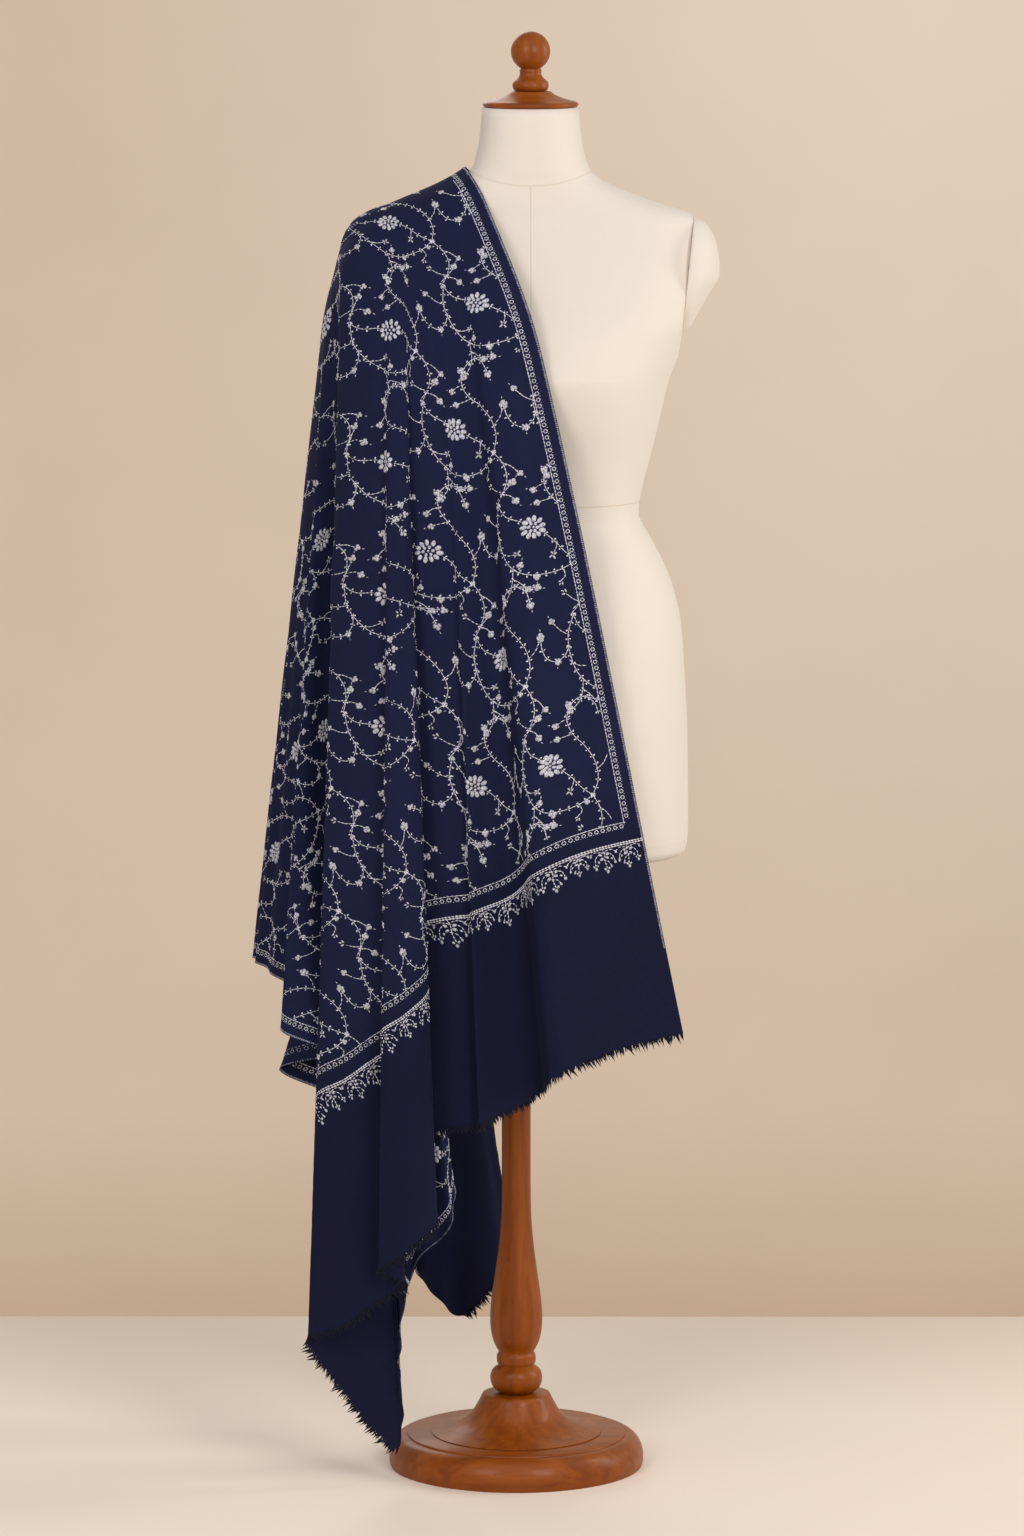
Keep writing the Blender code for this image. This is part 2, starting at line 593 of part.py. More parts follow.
def add_shawl(cloth, collection):
    rounded_form = (torso_mesh("rounded_torso", flat_ends=False), shoulder_mesh("rounded_shoulder", -1, whole=True))
    grid, steps, side = shawl_grid(ROW_SHARES)
    for mesh in rounded_form:
        grid = clear_of(grid.reshape(-1, 3), mesh, FORM_CLEARANCE + 0.5 * CLOTH).reshape(grid.shape)
        bpy.data.meshes.remove(mesh)
    side_column = int(np.argmin(abs(steps - side)))
    front = grid[:, :side_column + 1].copy()
    back = grid[:, side_column:].copy()
    for half, sign, edge, inner in ((front, -1, -1, -2), (back, 1, 0, 1)):
        at_ridge = seam_shift(half[0], half[1])
        at_side = seam_shift(half[1:, edge], half[1:, inner])
        half[0, :, 1] += sign * at_ridge
        half[1:, edge, 1] += sign * at_side
    hem_columns = (steps <= SHAWL_WIDTH + 1e-6).sum(), (steps >= steps[-1] - SHAWL_WIDTH - 1e-6).sum()

    ends = {"shawl_fringe_front": (front, slice(0, hem_columns[0])),
            "shawl_fringe_back": (back, slice(-hem_columns[1], None))}
    for name, (half, hem) in ends.items():
        rise = unit(half[-2, hem] - half[-1, hem])
        add_fringe(name, half[-2, hem], half[-1, hem].copy(), cloth, collection)
        half[-1, hem] += rise * (FRINGE_STRIP + HEM_GAP)
    add_cloth("shawl_front", front, cloth, collection)
    add_cloth("shawl_back", back, cloth, collection)


def main():
    clear_scene()
    parts = new_collection("pashmina_shawl_on_dress_form")
    cloth = new_material("navy_pashmina", (0.011, 0.011, 0.054), 0.85)
    linen = new_material("cream_form_cover", (0.86, 0.77, 0.63), 0.75)
    wood = new_material("varnished_wood", (0.26, 0.080, 0.024), 0.25)
    add_form(linen, parts)
    add_stand(wood, parts)
    add_neck_cap_and_finial(wood, parts)
    add_shawl(cloth, parts)


main()
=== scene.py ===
"""Looks of a navy pashmina shawl draped over one shoulder of a dress form on a turned wooden stand.

Metres, +Z up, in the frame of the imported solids. The shawl is one rectangle of cloth. A place on the flat
cloth is (across, along): across runs from the inner long edge to the outer one, and along runs from the
shoulder ridge, positive down the front fall and negative down the rear fall. Hang lines say where the cloth
goes, and every stitch, selvage thread and fringe lock is laid on the same surface.
"""

from __future__ import annotations

import json
import logging
import math
from dataclasses import dataclass
from enum import Enum
from typing import Any, NamedTuple

import bmesh
import bpy
import numpy as np
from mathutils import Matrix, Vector
from mathutils.bvhtree import BVHTree

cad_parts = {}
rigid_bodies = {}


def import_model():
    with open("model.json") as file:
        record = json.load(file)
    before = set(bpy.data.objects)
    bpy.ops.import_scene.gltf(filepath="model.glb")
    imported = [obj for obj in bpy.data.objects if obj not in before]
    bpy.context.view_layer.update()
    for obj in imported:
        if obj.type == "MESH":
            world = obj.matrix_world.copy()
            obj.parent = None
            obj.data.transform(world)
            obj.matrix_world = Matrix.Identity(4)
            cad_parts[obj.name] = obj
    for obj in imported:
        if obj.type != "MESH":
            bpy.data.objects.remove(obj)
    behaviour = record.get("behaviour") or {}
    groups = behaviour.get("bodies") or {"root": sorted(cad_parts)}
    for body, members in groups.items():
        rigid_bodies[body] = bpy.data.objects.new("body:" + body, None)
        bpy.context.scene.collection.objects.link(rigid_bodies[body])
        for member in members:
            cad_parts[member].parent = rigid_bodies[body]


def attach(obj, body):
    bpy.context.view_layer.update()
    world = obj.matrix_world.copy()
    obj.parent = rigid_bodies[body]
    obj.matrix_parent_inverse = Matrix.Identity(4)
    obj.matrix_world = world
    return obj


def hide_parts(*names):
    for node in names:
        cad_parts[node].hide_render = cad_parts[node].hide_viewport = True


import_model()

log = logging.getLogger("shawl")

BODY = "root"
UV_NAME = "cloth_metres"


# ---- Helpers ----


def linear(code: str) -> tuple[float, float, float, float]:
    """Turns an sRGB hex colour into the linear RGBA that shaders take.

    Args:
        code: six hex digits, such as "1B1B42".

    Returns:
        Linear red, green, blue and an alpha of 1.
    """
    values = [int(code[place:place + 2], 16) / 255 for place in (0, 2, 4)]
    return (*[v / 12.92 if v <= 0.04045 else ((v + 0.055) / 1.055) ** 2.4 for v in values], 1.0)


def add_node(tree: bpy.types.NodeTree, kind: str, inputs: dict | None = None,
             **settings: Any) -> bpy.types.Node:
    """Adds a node with its settings and links.

    Args:
        tree: the tree that takes the node.
        kind: Blender's name for the kind of node.
        inputs: by socket name or number, a value, an output socket to link from, or a node to link from by
            the first output that it has in use.
        settings: properties of the node.

    Returns:
        The new node.
    """
    node = tree.nodes.new(kind)
    for name, value in settings.items():
        setattr(node, name, value)
    for key, value in (inputs or {}).items():
        if isinstance(value, bpy.types.Node):
            value = next(socket for socket in value.outputs if socket.enabled)
        if isinstance(value, bpy.types.NodeSocket):
            tree.links.new(value, node.inputs[key])
        else:
            node.inputs[key].default_value = value
    return node


def unit(vectors: np.ndarray) -> np.ndarray:
    """Vectors along the last axis, each at length 1."""
    return vectors / np.maximum(np.linalg.norm(vectors, axis=-1, keepdims=True), 1e-12)


def hermite(knots: np.ndarray, values: np.ndarray, at: np.ndarray, steepest: float = 1.8) -> np.ndarray:
    """Smooth curve through values, whose slope at a knot is limited so that it never loops.

    Args:
        knots: rising parameters of the values.
        values: one row for each knot.
        at: parameters at which the curve is read.
        steepest: the most that a slope may be, as a multiple of the shorter step beside its knot.

    Returns:
        One row for each parameter in at.
    """
    knots, values, at = np.asarray(knots, float), np.asarray(values, float), np.asarray(at, float)
    slopes = np.empty_like(values)
    slopes[1:-1] = (values[2:] - values[:-2]) / (knots[2:] - knots[:-2])[:, None]
    slopes[0] = (values[1] - values[0]) / (knots[1] - knots[0])
    slopes[-1] = (values[-1] - values[-2]) / (knots[-1] - knots[-2])
    secants = np.linalg.norm(np.diff(values, axis=0), axis=1) / np.diff(knots)
    size = np.linalg.norm(slopes[1:-1], axis=1)
    limit = steepest * np.minimum(secants[1:], secants[:-1])
    slopes[1:-1] *= np.minimum(1, limit / np.maximum(size, 1e-9))[:, None]
    left = np.clip(np.searchsorted(knots, at, side="right") - 1, 0, len(knots) - 2)
    span = (knots[left + 1] - knots[left])[:, None]
    t = ((at - knots[left]) / (knots[left + 1] - knots[left]))[:, None]
    ends = (2 * t**3 - 3 * t**2 + 1) * values[left] + (3 * t**2 - 2 * t**3) * values[left + 1]
    bends = (t**3 - 2 * t**2 + t) * slopes[left] + (t**3 - t**2) * slopes[left + 1]
    return ends + span * bends


def path_length(points: np.ndarray) -> np.ndarray:
    """Distance of each point along the broken line through the points."""
    return np.concatenate([[0], np.cumsum(np.linalg.norm(np.diff(points, axis=0), axis=1))])


def smoothed(points: list | np.ndarray, count: int) -> np.ndarray:
    """Points at even shares of the smooth curve through some points.

    Args:
        points: one row for each.
        count: how many are wanted.

    Returns:
        One row for each.
    """
    rows = np.array(points, float)
    knots = path_length(rows)
    return hermite(knots, rows, np.linspace(0, knots[-1], count))


def new_object(name: str, mesh: bpy.types.Mesh,
               material: bpy.types.Material | None = None) -> bpy.types.Object:
    """Links an object to the scene, with smooth shading.

    Args:
        name: its name.
        mesh: what it shows.
        material: its finish, if it has one.

    Returns:
        The object.
    """
    obj = bpy.data.objects.new(name, mesh)
    bpy.context.scene.collection.objects.link(obj)
    if material:
        mesh.materials.append(material)
    mesh.shade_smooth()
    return obj


def mesh_of(name: str, points: np.ndarray, faces: list, edges: list = ()) -> bpy.types.Mesh:
    """Makes a mesh.

    Args:
        name: its name.
        points: one row for each point.
        faces: the numbers of each face's corners.
        edges: the numbers of the ends of each loose edge.

    Returns:
        The mesh.
    """
    mesh = bpy.data.meshes.new(name)
    mesh.from_pydata(np.asarray(points).tolist(), edges, faces)
    mesh.update()
    return mesh


# ---- Camera, light and floor ----


@dataclass(frozen=True)
class StudioCamera:
    """A long lens a little above the form, looking slightly down."""

    place: tuple[float, float, float] = (0.0095, -8.0, 1.925)
    pitch: float = math.radians(7.92)
    turn: float = 0.0018
    focal_pixels: float = 7077.0
    frame_height: float = 1536.0
    sensor: float = 24.0

    def build(self) -> None:
        """Makes the camera and hands it to the scene."""
        lens = bpy.data.cameras.new("studio_camera")
        lens.sensor_fit = "VERTICAL"
        lens.sensor_height = lens.sensor_width = self.sensor
        lens.lens = self.focal_pixels / self.frame_height * self.sensor
        lens.clip_start, lens.clip_end = 0.1, 60.0
        camera = bpy.data.objects.new("studio_camera", lens)
        camera.location = self.place
        camera.rotation_euler = (math.pi / 2 - self.pitch, 0.0, self.turn)
        bpy.context.scene.collection.objects.link(camera)
        bpy.context.scene.camera = camera


class SoftBox(NamedTuple):
    """A rectangular studio lamp: place, aim, sides in metres, power in watts and colour."""

    name: str
    place: tuple[float, float, float]
    aim: tuple[float, float, float]
    sides: tuple[float, float]
    power: float
    colour: str


@dataclass(frozen=True)
class Studio:
    """Floor, far wall and lamps. The wall is the world's own warm paper, so that no view is blocked.

    The paper's levels and sides are parts of a unit direction: the last two fields run from where it isn't
    lit to where it is, upwards and to the right.
    """

    floor_back: float = 0.79
    floor_side: float = 6.0
    floor_front: float = 3.4
    lamps: tuple[SoftBox, ...] = (
        SoftBox("lamp_front_left", (-2.0, -3.8, 2.5), (0.0, 0.0, 1.0), (1.3, 1.8), 50.0, "FFFBF8"),
        SoftBox("lamp_front_right", (1.8, -3.8, 2.5), (0.0, 0.0, 1.0), (1.3, 1.8), 66.0, "FFFBF8"),
        SoftBox("lamp_overhead", (-0.4, -1.9, 3.6), (-0.2, -0.6, 0.0), (3.2, 2.2), 22.0, "FFF9F3"),
        SoftBox("lamp_right_edge", (2.6, 0.3, 1.7), (0.0, 0.0, 1.0), (0.7, 2.2), 30.0, "FFF8F0"),
        SoftBox("lamp_behind", (-1.2, 4.2, 3.0), (0.0, 0.0, 0.9), (2.4, 2.0), 40.0, "FFFAF5"),
    )
    fill: float = 0.33
    floor_tone: str = "E2D3C1"
    paper: str = "D0BAA4"
    paper_in_shade: str = "C0A58B"
    paper_in_light: str = "E2D0BC"
    paper_foot: float = -0.215
    floor_fade: float = 0.007
    shade_height: float = 0.03
    light_levels: tuple[float, float] = (-0.17, -0.035)
    light_sides: tuple[float, float] = (-0.065, 0.055)

    def build(self) -> None:
        """Makes the floor, the lamps and the world."""
        side, front, back = self.floor_side, -self.floor_front, self.floor_back
        corners = [(-side, front, 0), (side, front, 0), (side, back, 0), (-side, back, 0)]
        floor = mesh_of("studio_floor", corners, [(0, 1, 2, 3)])
        new_object("studio_floor", floor, PaleFloor().build())
        for lamp in self.lamps:
            light = bpy.data.lights.new(lamp.name, "AREA")
            light.shape = "RECTANGLE"
            light.size, light.size_y = lamp.sides
            light.energy = lamp.power
            light.color = linear(lamp.colour)[:3]
            obj = bpy.data.objects.new(lamp.name, light)
            obj.location = lamp.place
            obj.rotation_euler = (Vector(lamp.aim) - Vector(lamp.place)).to_track_quat("-Z", "Y").to_euler()
            obj.visible_camera = False
            bpy.context.scene.collection.objects.link(obj)
        self.dress_world()

    def dress_world(self) -> None:
        """One mottled warm paper, shaded at its foot and lit high on the right, over the floor's own tone.

        The eye and glossy surfaces see the paper, and everything else is lit by a soft, nearly white fill.
        """
        world = bpy.data.worlds.new("studio_paper")
        world.use_nodes = True
        tree = world.node_tree
        tree.nodes.clear()
        place = add_node(tree, "ShaderNodeTexCoord").outputs["Generated"]
        split = add_node(tree, "ShaderNodeSeparateXYZ", {0: place})
        rise, foot = split.outputs["Z"], self.paper_foot
        off_foot = add_node(tree, "ShaderNodeMapRange", {0: rise, 1: foot, 2: foot + self.shade_height})
        high = add_node(tree, "ShaderNodeMapRange", {
            0: rise, 1: self.light_levels[0], 2: self.light_levels[1]})
        right = add_node(tree, "ShaderNodeMapRange", {0: split.outputs["X"], 1: self.light_sides[0],
                                                      2: self.light_sides[1]})
        lit = add_node(tree, "ShaderNodeMath", {0: high, 1: right}, operation="MULTIPLY")
        above = add_node(tree, "ShaderNodeMapRange", {0: rise, 1: foot - self.floor_fade, 2: foot})
        wall = add_node(tree, "ShaderNodeMix", {0: off_foot, 6: linear(self.paper_in_shade),
                                                7: linear(self.paper)}, data_type="RGBA")
        wall = add_node(tree, "ShaderNodeMix", {0: lit, 6: wall, 7: linear(self.paper_in_light)},
                        data_type="RGBA")
        wall = add_node(tree, "ShaderNodeMix", {0: above, 6: linear(self.floor_tone), 7: wall},
                        data_type="RGBA")
        clouds = add_node(tree, "ShaderNodeTexNoise", {"Vector": place, "Scale": 14.0, "Detail": 5.0,
                                                       "Roughness": 0.6})
        tone = add_node(tree, "ShaderNodeMapRange", {0: clouds, 1: 0.3, 2: 0.7, 3: 0.965, 4: 1.035})
        mottled = add_node(tree, "ShaderNodeVectorMath", {0: wall, "Scale": tone}, operation="SCALE")
        paper = add_node(tree, "ShaderNodeBackground", {"Color": mottled, "Strength": 1.0})
        fill = add_node(tree, "ShaderNodeBackground", {"Color": linear("FFF8F2"), "Strength": self.fill})
        path = add_node(tree, "ShaderNodeLightPath").outputs
        seen = add_node(tree, "ShaderNodeMath", {0: path["Is Camera Ray"], 1: path["Is Glossy Ray"]},
                        operation="MAXIMUM")
        mix = add_node(tree, "ShaderNodeMixShader", {0: seen, 1: fill, 2: paper})
        add_node(tree, "ShaderNodeOutputWorld", {"Surface": mix})
        bpy.context.scene.world = world
        bpy.context.scene.view_settings.view_transform = "Standard"


# ---- Finishes ----


@dataclass(frozen=True)
class Finish:
    """A material: its shader's own numbers, and the nodes that each finish adds for its colour and relief.

    A noise's scale is its number of grains to the metre, so a scale of 500 gives grains of 2 mm.
    """

    name: str
    roughness: float
    ior: float = 1.5
    sheen: float = 0.0
    sheen_roughness: float = 0.5
    coat: float = 0.0
    coat_roughness: float = 0.05

    def build(self) -> bpy.types.Material:
        """Makes the material, once.

        Returns:
            The new material, or the one already made.
        """
        known = bpy.data.materials.get(self.name)
        if known:
            return known
        material = bpy.data.materials.new(self.name)
        material.use_nodes = True
        tree = material.node_tree
        tree.nodes.clear()
        shader = add_node(tree, "ShaderNodeBsdfPrincipled", {
            "Roughness": self.roughness, "IOR": self.ior, "Sheen Weight": self.sheen,
            "Sheen Roughness": self.sheen_roughness, "Coat Weight": self.coat,
            "Coat Roughness": self.coat_roughness, **self.dress(tree)})
        add_node(tree, "ShaderNodeOutputMaterial", {"Surface": shader})
        return material

    def dress(self, tree: bpy.types.NodeTree) -> dict[str, Any]:
        """Adds the nodes for colour and relief.

        Args:
            tree: the material's nodes.

        Returns:
            What the shader's sockets take, by name: a value, or a node to link from.
        """
        raise NotImplementedError

    @staticmethod
    def place(tree: bpy.types.NodeTree, stretch: tuple[float, float, float] = (1.0, 1.0, 1.0),
              uv: bool = False) -> bpy.types.Node:
        """Adds the coordinates that a pattern lies on.

        Args:
            tree: the material's nodes.
            stretch: the pattern's scale along each axis.
            uv: whether it lies on the flat cloth, in metres, and not on Object coordinates.

        Returns:
            The node that gives them.
        """
        source = (add_node(tree, "ShaderNodeUVMap", uv_map=UV_NAME) if uv
                  else add_node(tree, "ShaderNodeTexCoord").outputs["Object"])
        return add_node(tree, "ShaderNodeMapping", {"Vector": source, "Scale": stretch})


@dataclass(frozen=True)
class PaleFloor(Finish):
    """Matt painted studio floor: pale warm grey with a soft uneven tone, and painted shade that darkens it
    towards the wall.
    """

    name: str = "painted_studio_floor"
    roughness: float = 0.75
    painted_wall_shade: tuple[float, float] = (0.85, 0.25)

    def dress(self, tree: bpy.types.NodeTree) -> dict[str, Any]:
        """A faint cloudiness, painted shade towards the wall, and a fine tooth. A faint glow of its own is
        painted light that stands for the pale ceiling.
        """
        place = self.place(tree)
        clouds = add_node(tree, "ShaderNodeTexNoise", {"Vector": place, "Scale": 1.4, "Detail": 3.0})
        split = add_node(tree, "ShaderNodeSeparateXYZ", {0: place})
        # Painted shade: the colour darkens towards the wall, standing for light that falls off there.
        near = add_node(tree, "ShaderNodeMapRange", {0: split.outputs["Y"], 1: self.painted_wall_shade[0],
                                                     2: self.painted_wall_shade[1]})
        paint = add_node(tree, "ShaderNodeMix", {0: clouds, 6: linear("ECDECF"), 7: linear("F2E5D8")},
                         data_type="RGBA")
        shaded = add_node(tree, "ShaderNodeMix", {0: near, 6: linear("DCCCBB"), 7: paint}, data_type="RGBA")
        tooth = add_node(tree, "ShaderNodeTexNoise", {"Vector": place, "Scale": 400.0})
        bump = add_node(tree, "ShaderNodeBump", {"Height": tooth, "Strength": 0.05, "Distance": 0.001})
        # Painted light: the floor glows faintly, standing for light from the pale ceiling.
        return {"Base Color": shaded, "Normal": bump, "Emission Color": linear("F4E8DB"),
                "Emission Strength": 0.06}


@dataclass(frozen=True)
class NavyPashmina(Finish):
    """Fine twill of goat's wool, piece dyed navy: matt, with a soft bloom at grazing light from its nap."""

    name: str = "navy_pashmina_twill"
    roughness: float = 0.85
    ior: float = 1.22
    sheen: float = 0.10
    sheen_roughness: float = 0.40
    # The real twill has about 2 lines to the millimetre. They are drawn 1.33 mm apart, so that they show.
    twill_step: float = 0.001333
    # How far along the cloth the sewn field reaches, from none of its tone to all of it.
    field_fade: tuple[float, float] = (0.84, 0.76)

    def dress(self, tree: bpy.types.NodeTree) -> dict[str, Any]:
        """Uneven dye, slubs along the threads, diagonal twill lines, and nap.

        The sewn field is a little paler than the plain ends.
        """
        flat = self.place(tree, uv=True)
        dye = add_node(tree, "ShaderNodeTexNoise", {"Vector": flat, "Scale": 9.0, "Detail": 4.0})
        slub = add_node(tree, "ShaderNodeTexNoise", {
            "Vector": self.place(tree, (900.0, 60.0, 1.0), uv=True), "Scale": 1.0, "Detail": 2.0})
        along = add_node(tree, "ShaderNodeSeparateXYZ", {0: flat}).outputs["Y"]
        reach = add_node(tree, "ShaderNodeMath", {0: along}, operation="ABSOLUTE")
        field = add_node(tree, "ShaderNodeMapRange", {0: reach, 1: self.field_fade[0], 2: self.field_fade[1]})
        shades = []
        for low, high, line in (("0D0F28", "141732", "1B1D40"), ("101431", "181C3A", "22274A")):
            deep = add_node(tree, "ShaderNodeMix", {0: dye, 6: linear(low), 7: linear(high)},
                            data_type="RGBA")
            worn = add_node(tree, "ShaderNodeMix", {0: slub, 6: deep, 7: linear(line)}, data_type="RGBA")
            shades.append(add_node(tree, "ShaderNodeMix", {0: 0.35, 6: deep, 7: worn}, data_type="RGBA"))
        wool = add_node(tree, "ShaderNodeMix", {0: field, 6: shades[0], 7: shades[1]}, data_type="RGBA")
        # Blender's wave repeats each 2 pi / 10, and diagonal bands lie closer together by the root of 2.
        twill = add_node(tree, "ShaderNodeTexWave", {
            "Vector": flat, "Scale": math.tau / (10 * math.sqrt(2) * self.twill_step), "Distortion": 0.6,
            "Detail": 1.0, "Detail Scale": 3.0}, bands_direction="DIAGONAL")
        nap = add_node(tree, "ShaderNodeTexNoise", {"Vector": flat, "Scale": 700.0, "Detail": 3.0})
        relief = add_node(tree, "ShaderNodeMath", {0: twill.outputs["Fac"], 1: nap}, operation="ADD")
        bump = add_node(tree, "ShaderNodeBump", {"Height": relief, "Strength": 0.30, "Distance": 0.0004})
        return {"Base Color": wool, "Normal": bump, "Sheen Tint": linear("5A6296")}


@dataclass(frozen=True)
class SilverSilk(Finish):
    """Twisted embroidery silk in silver grey: short satin stitches that shine softly along the thread."""

    name: str = "silver_grey_embroidery_silk"
    roughness: float = 0.48
    sheen: float = 0.15
    # The light tone is the thread's own; the dark one is painted shade in the grooves between its coils.
    light: str = "E6E8F0"
    dark: str = "9296AB"

    def dress(self, tree: bpy.types.NodeTree) -> dict[str, Any]:
        """Pale thread with painted shade in the grooves between its coils, drawn 1.6 mm apart so that they
        show, with ribbed relief.
        """
        coils = add_node(tree, "ShaderNodeTexVoronoi", {"Vector": self.place(tree), "Scale": 620.0})
        share = add_node(tree, "ShaderNodeMapRange", {0: coils.outputs["Distance"], 1: 0.15, 2: 0.75})
        # Painted shade: the colour darkens in the grooves that the bump sinks between the coils.
        silk = add_node(tree, "ShaderNodeMix", {0: share, 6: linear(self.light), 7: linear(self.dark)},
                        data_type="RGBA")
        bump = add_node(tree, "ShaderNodeBump", {"Height": share, "Strength": 0.6, "Distance": 0.0005},
                        invert=True)
        return {"Base Color": silk, "Normal": bump}


@dataclass(frozen=True)
class StemSilk(SilverSilk):
    """The same silk in a single pale strand, for stem stitch: finer and brighter than the filled shapes."""

    name: str = "pale_stem_stitch_silk"
    # The dark tone is painted shade between the strand's coils.
    light: str = "F2F3FA"
    dark: str = "C4C8DA"


@dataclass(frozen=True)
class SelvageYarn(Finish):
    """Undyed wool along the selvage: pale grey lilac, dull and hairy, with navy showing between its turns."""

    name: str = "undyed_selvage_yarn"
    roughness: float = 0.9
    sheen: float = 0.3
    deep: str = "4A4C6E"
    pale: str = "C9C8D8"
    grain: float = 900.0

    def dress(self, tree: bpy.types.NodeTree) -> dict[str, Any]:
        """A deep and a pale tone of the yarn in fine grains."""
        hairs = add_node(tree, "ShaderNodeTexNoise", {"Vector": self.place(tree), "Scale": self.grain,
                                                      "Detail": 2.0})
        yarn = add_node(tree, "ShaderNodeMix", {0: hairs, 6: linear(self.deep), 7: linear(self.pale)},
                        data_type="RGBA")
        return {"Base Color": yarn}


@dataclass(frozen=True)
class NavyYarn(SelvageYarn):
    """Loose warp ends of the navy wool: dull, and a little lighter where they fray."""

    name: str = "navy_fringe_yarn"
    ior: float = 1.25
    sheen: float = 0.04
    deep: str = "090A1B"
    pale: str = "15172F"
    grain: float = 700.0


@dataclass(frozen=True)
class CreamCover(Finish):
    """Close cotton jersey over padding: warm cream, matt, with a fine knit grain."""

    name: str = "cream_cotton_jersey"
    roughness: float = 0.8
    sheen: float = 0.12
    # The real knit has about 12 stitches to the centimetre. It is drawn at 1 each 1.6 mm, so that it shows.
    stitch_step: float = 0.0016

    def dress(self, tree: bpy.types.NodeTree) -> dict[str, Any]:
        """Soft tone changes of a handled cover, its knit grain, and painted shade in the sunk seams."""
        tone = add_node(tree, "ShaderNodeTexNoise", {"Vector": self.place(tree), "Scale": 5.0, "Detail": 3.0})
        body = add_node(tree, "ShaderNodeMix", {0: tone, 6: linear("DDD5CB"), 7: linear("E5DDD3")},
                        data_type="RGBA")
        # Painted shade: the colour darkens where the seams are sunk into the cover.
        seam = add_node(tree, "ShaderNodeAttribute", attribute_name="seam").outputs["Fac"]
        cover = add_node(tree, "ShaderNodeMix", {0: seam, 6: body, 7: linear("D2C5B2")}, data_type="RGBA")
        grain = 1.0 / self.stitch_step
        knit = add_node(tree, "ShaderNodeTexNoise", {
            "Vector": self.place(tree, (grain, grain, grain * 0.6)), "Scale": 1.0, "Detail": 1.0})
        bump = add_node(tree, "ShaderNodeBump", {"Height": knit, "Strength": 0.18, "Distance": 0.0005})
        return {"Base Color": cover, "Normal": bump}


@dataclass(frozen=True)
class VarnishedBeech(Finish):
    """Turned beech, stained brown and varnished: long fine grain under a clear gloss."""

    name: str = "brown_varnished_beech"
    roughness: float = 0.42
    ior: float = 1.32
    coat: float = 0.08
    coat_roughness: float = 0.12
    grain_runs: tuple[float, float, float] = (1.0, 1.0, 0.06)

    def dress(self, tree: bpy.types.NodeTree) -> dict[str, Any]:
        """Growth rings 14 mm apart and short dark pores along the grain, coarser than real to show."""
        along = self.place(tree, self.grain_runs)
        rings = add_node(tree, "ShaderNodeTexNoise", {"Vector": along, "Scale": 70.0, "Detail": 4.0,
                                                      "Distortion": 0.6})
        pores = add_node(tree, "ShaderNodeTexNoise", {"Vector": along, "Scale": 520.0, "Detail": 2.0})
        stain = add_node(tree, "ShaderNodeValToRGB", {0: rings})
        for stop, place, code in zip(stain.color_ramp.elements, (0.25, 0.80), ("703204", "9C5108")):
            stop.position, stop.color = place, linear(code)
        flecks = add_node(tree, "ShaderNodeMapRange", {0: pores, 1: 0.40, 2: 0.28, 3: 0.0, 4: 0.35})
        wood = add_node(tree, "ShaderNodeMix", {0: flecks, 6: stain, 7: linear("4C2309")}, data_type="RGBA")
        bump = add_node(tree, "ShaderNodeBump", {"Height": pores, "Strength": 0.06, "Distance": 0.0004})
        return {"Base Color": wood, "Normal": bump}


@dataclass(frozen=True)
class VarnishedBeechPlank(VarnishedBeech):
    """The same wood where the plank lies flat, so that its grain runs across."""

    name: str = "brown_varnished_beech_plank"
    grain_runs: tuple[float, float, float] = (0.06, 1.0, 1.0)


# ---- Dress form ----


class TorsoLevel(NamedTuple):
    """One level of the torso: its height, half width, and depth before and behind the axis."""

    z: float
    half_width: float
    front: float
    back: float


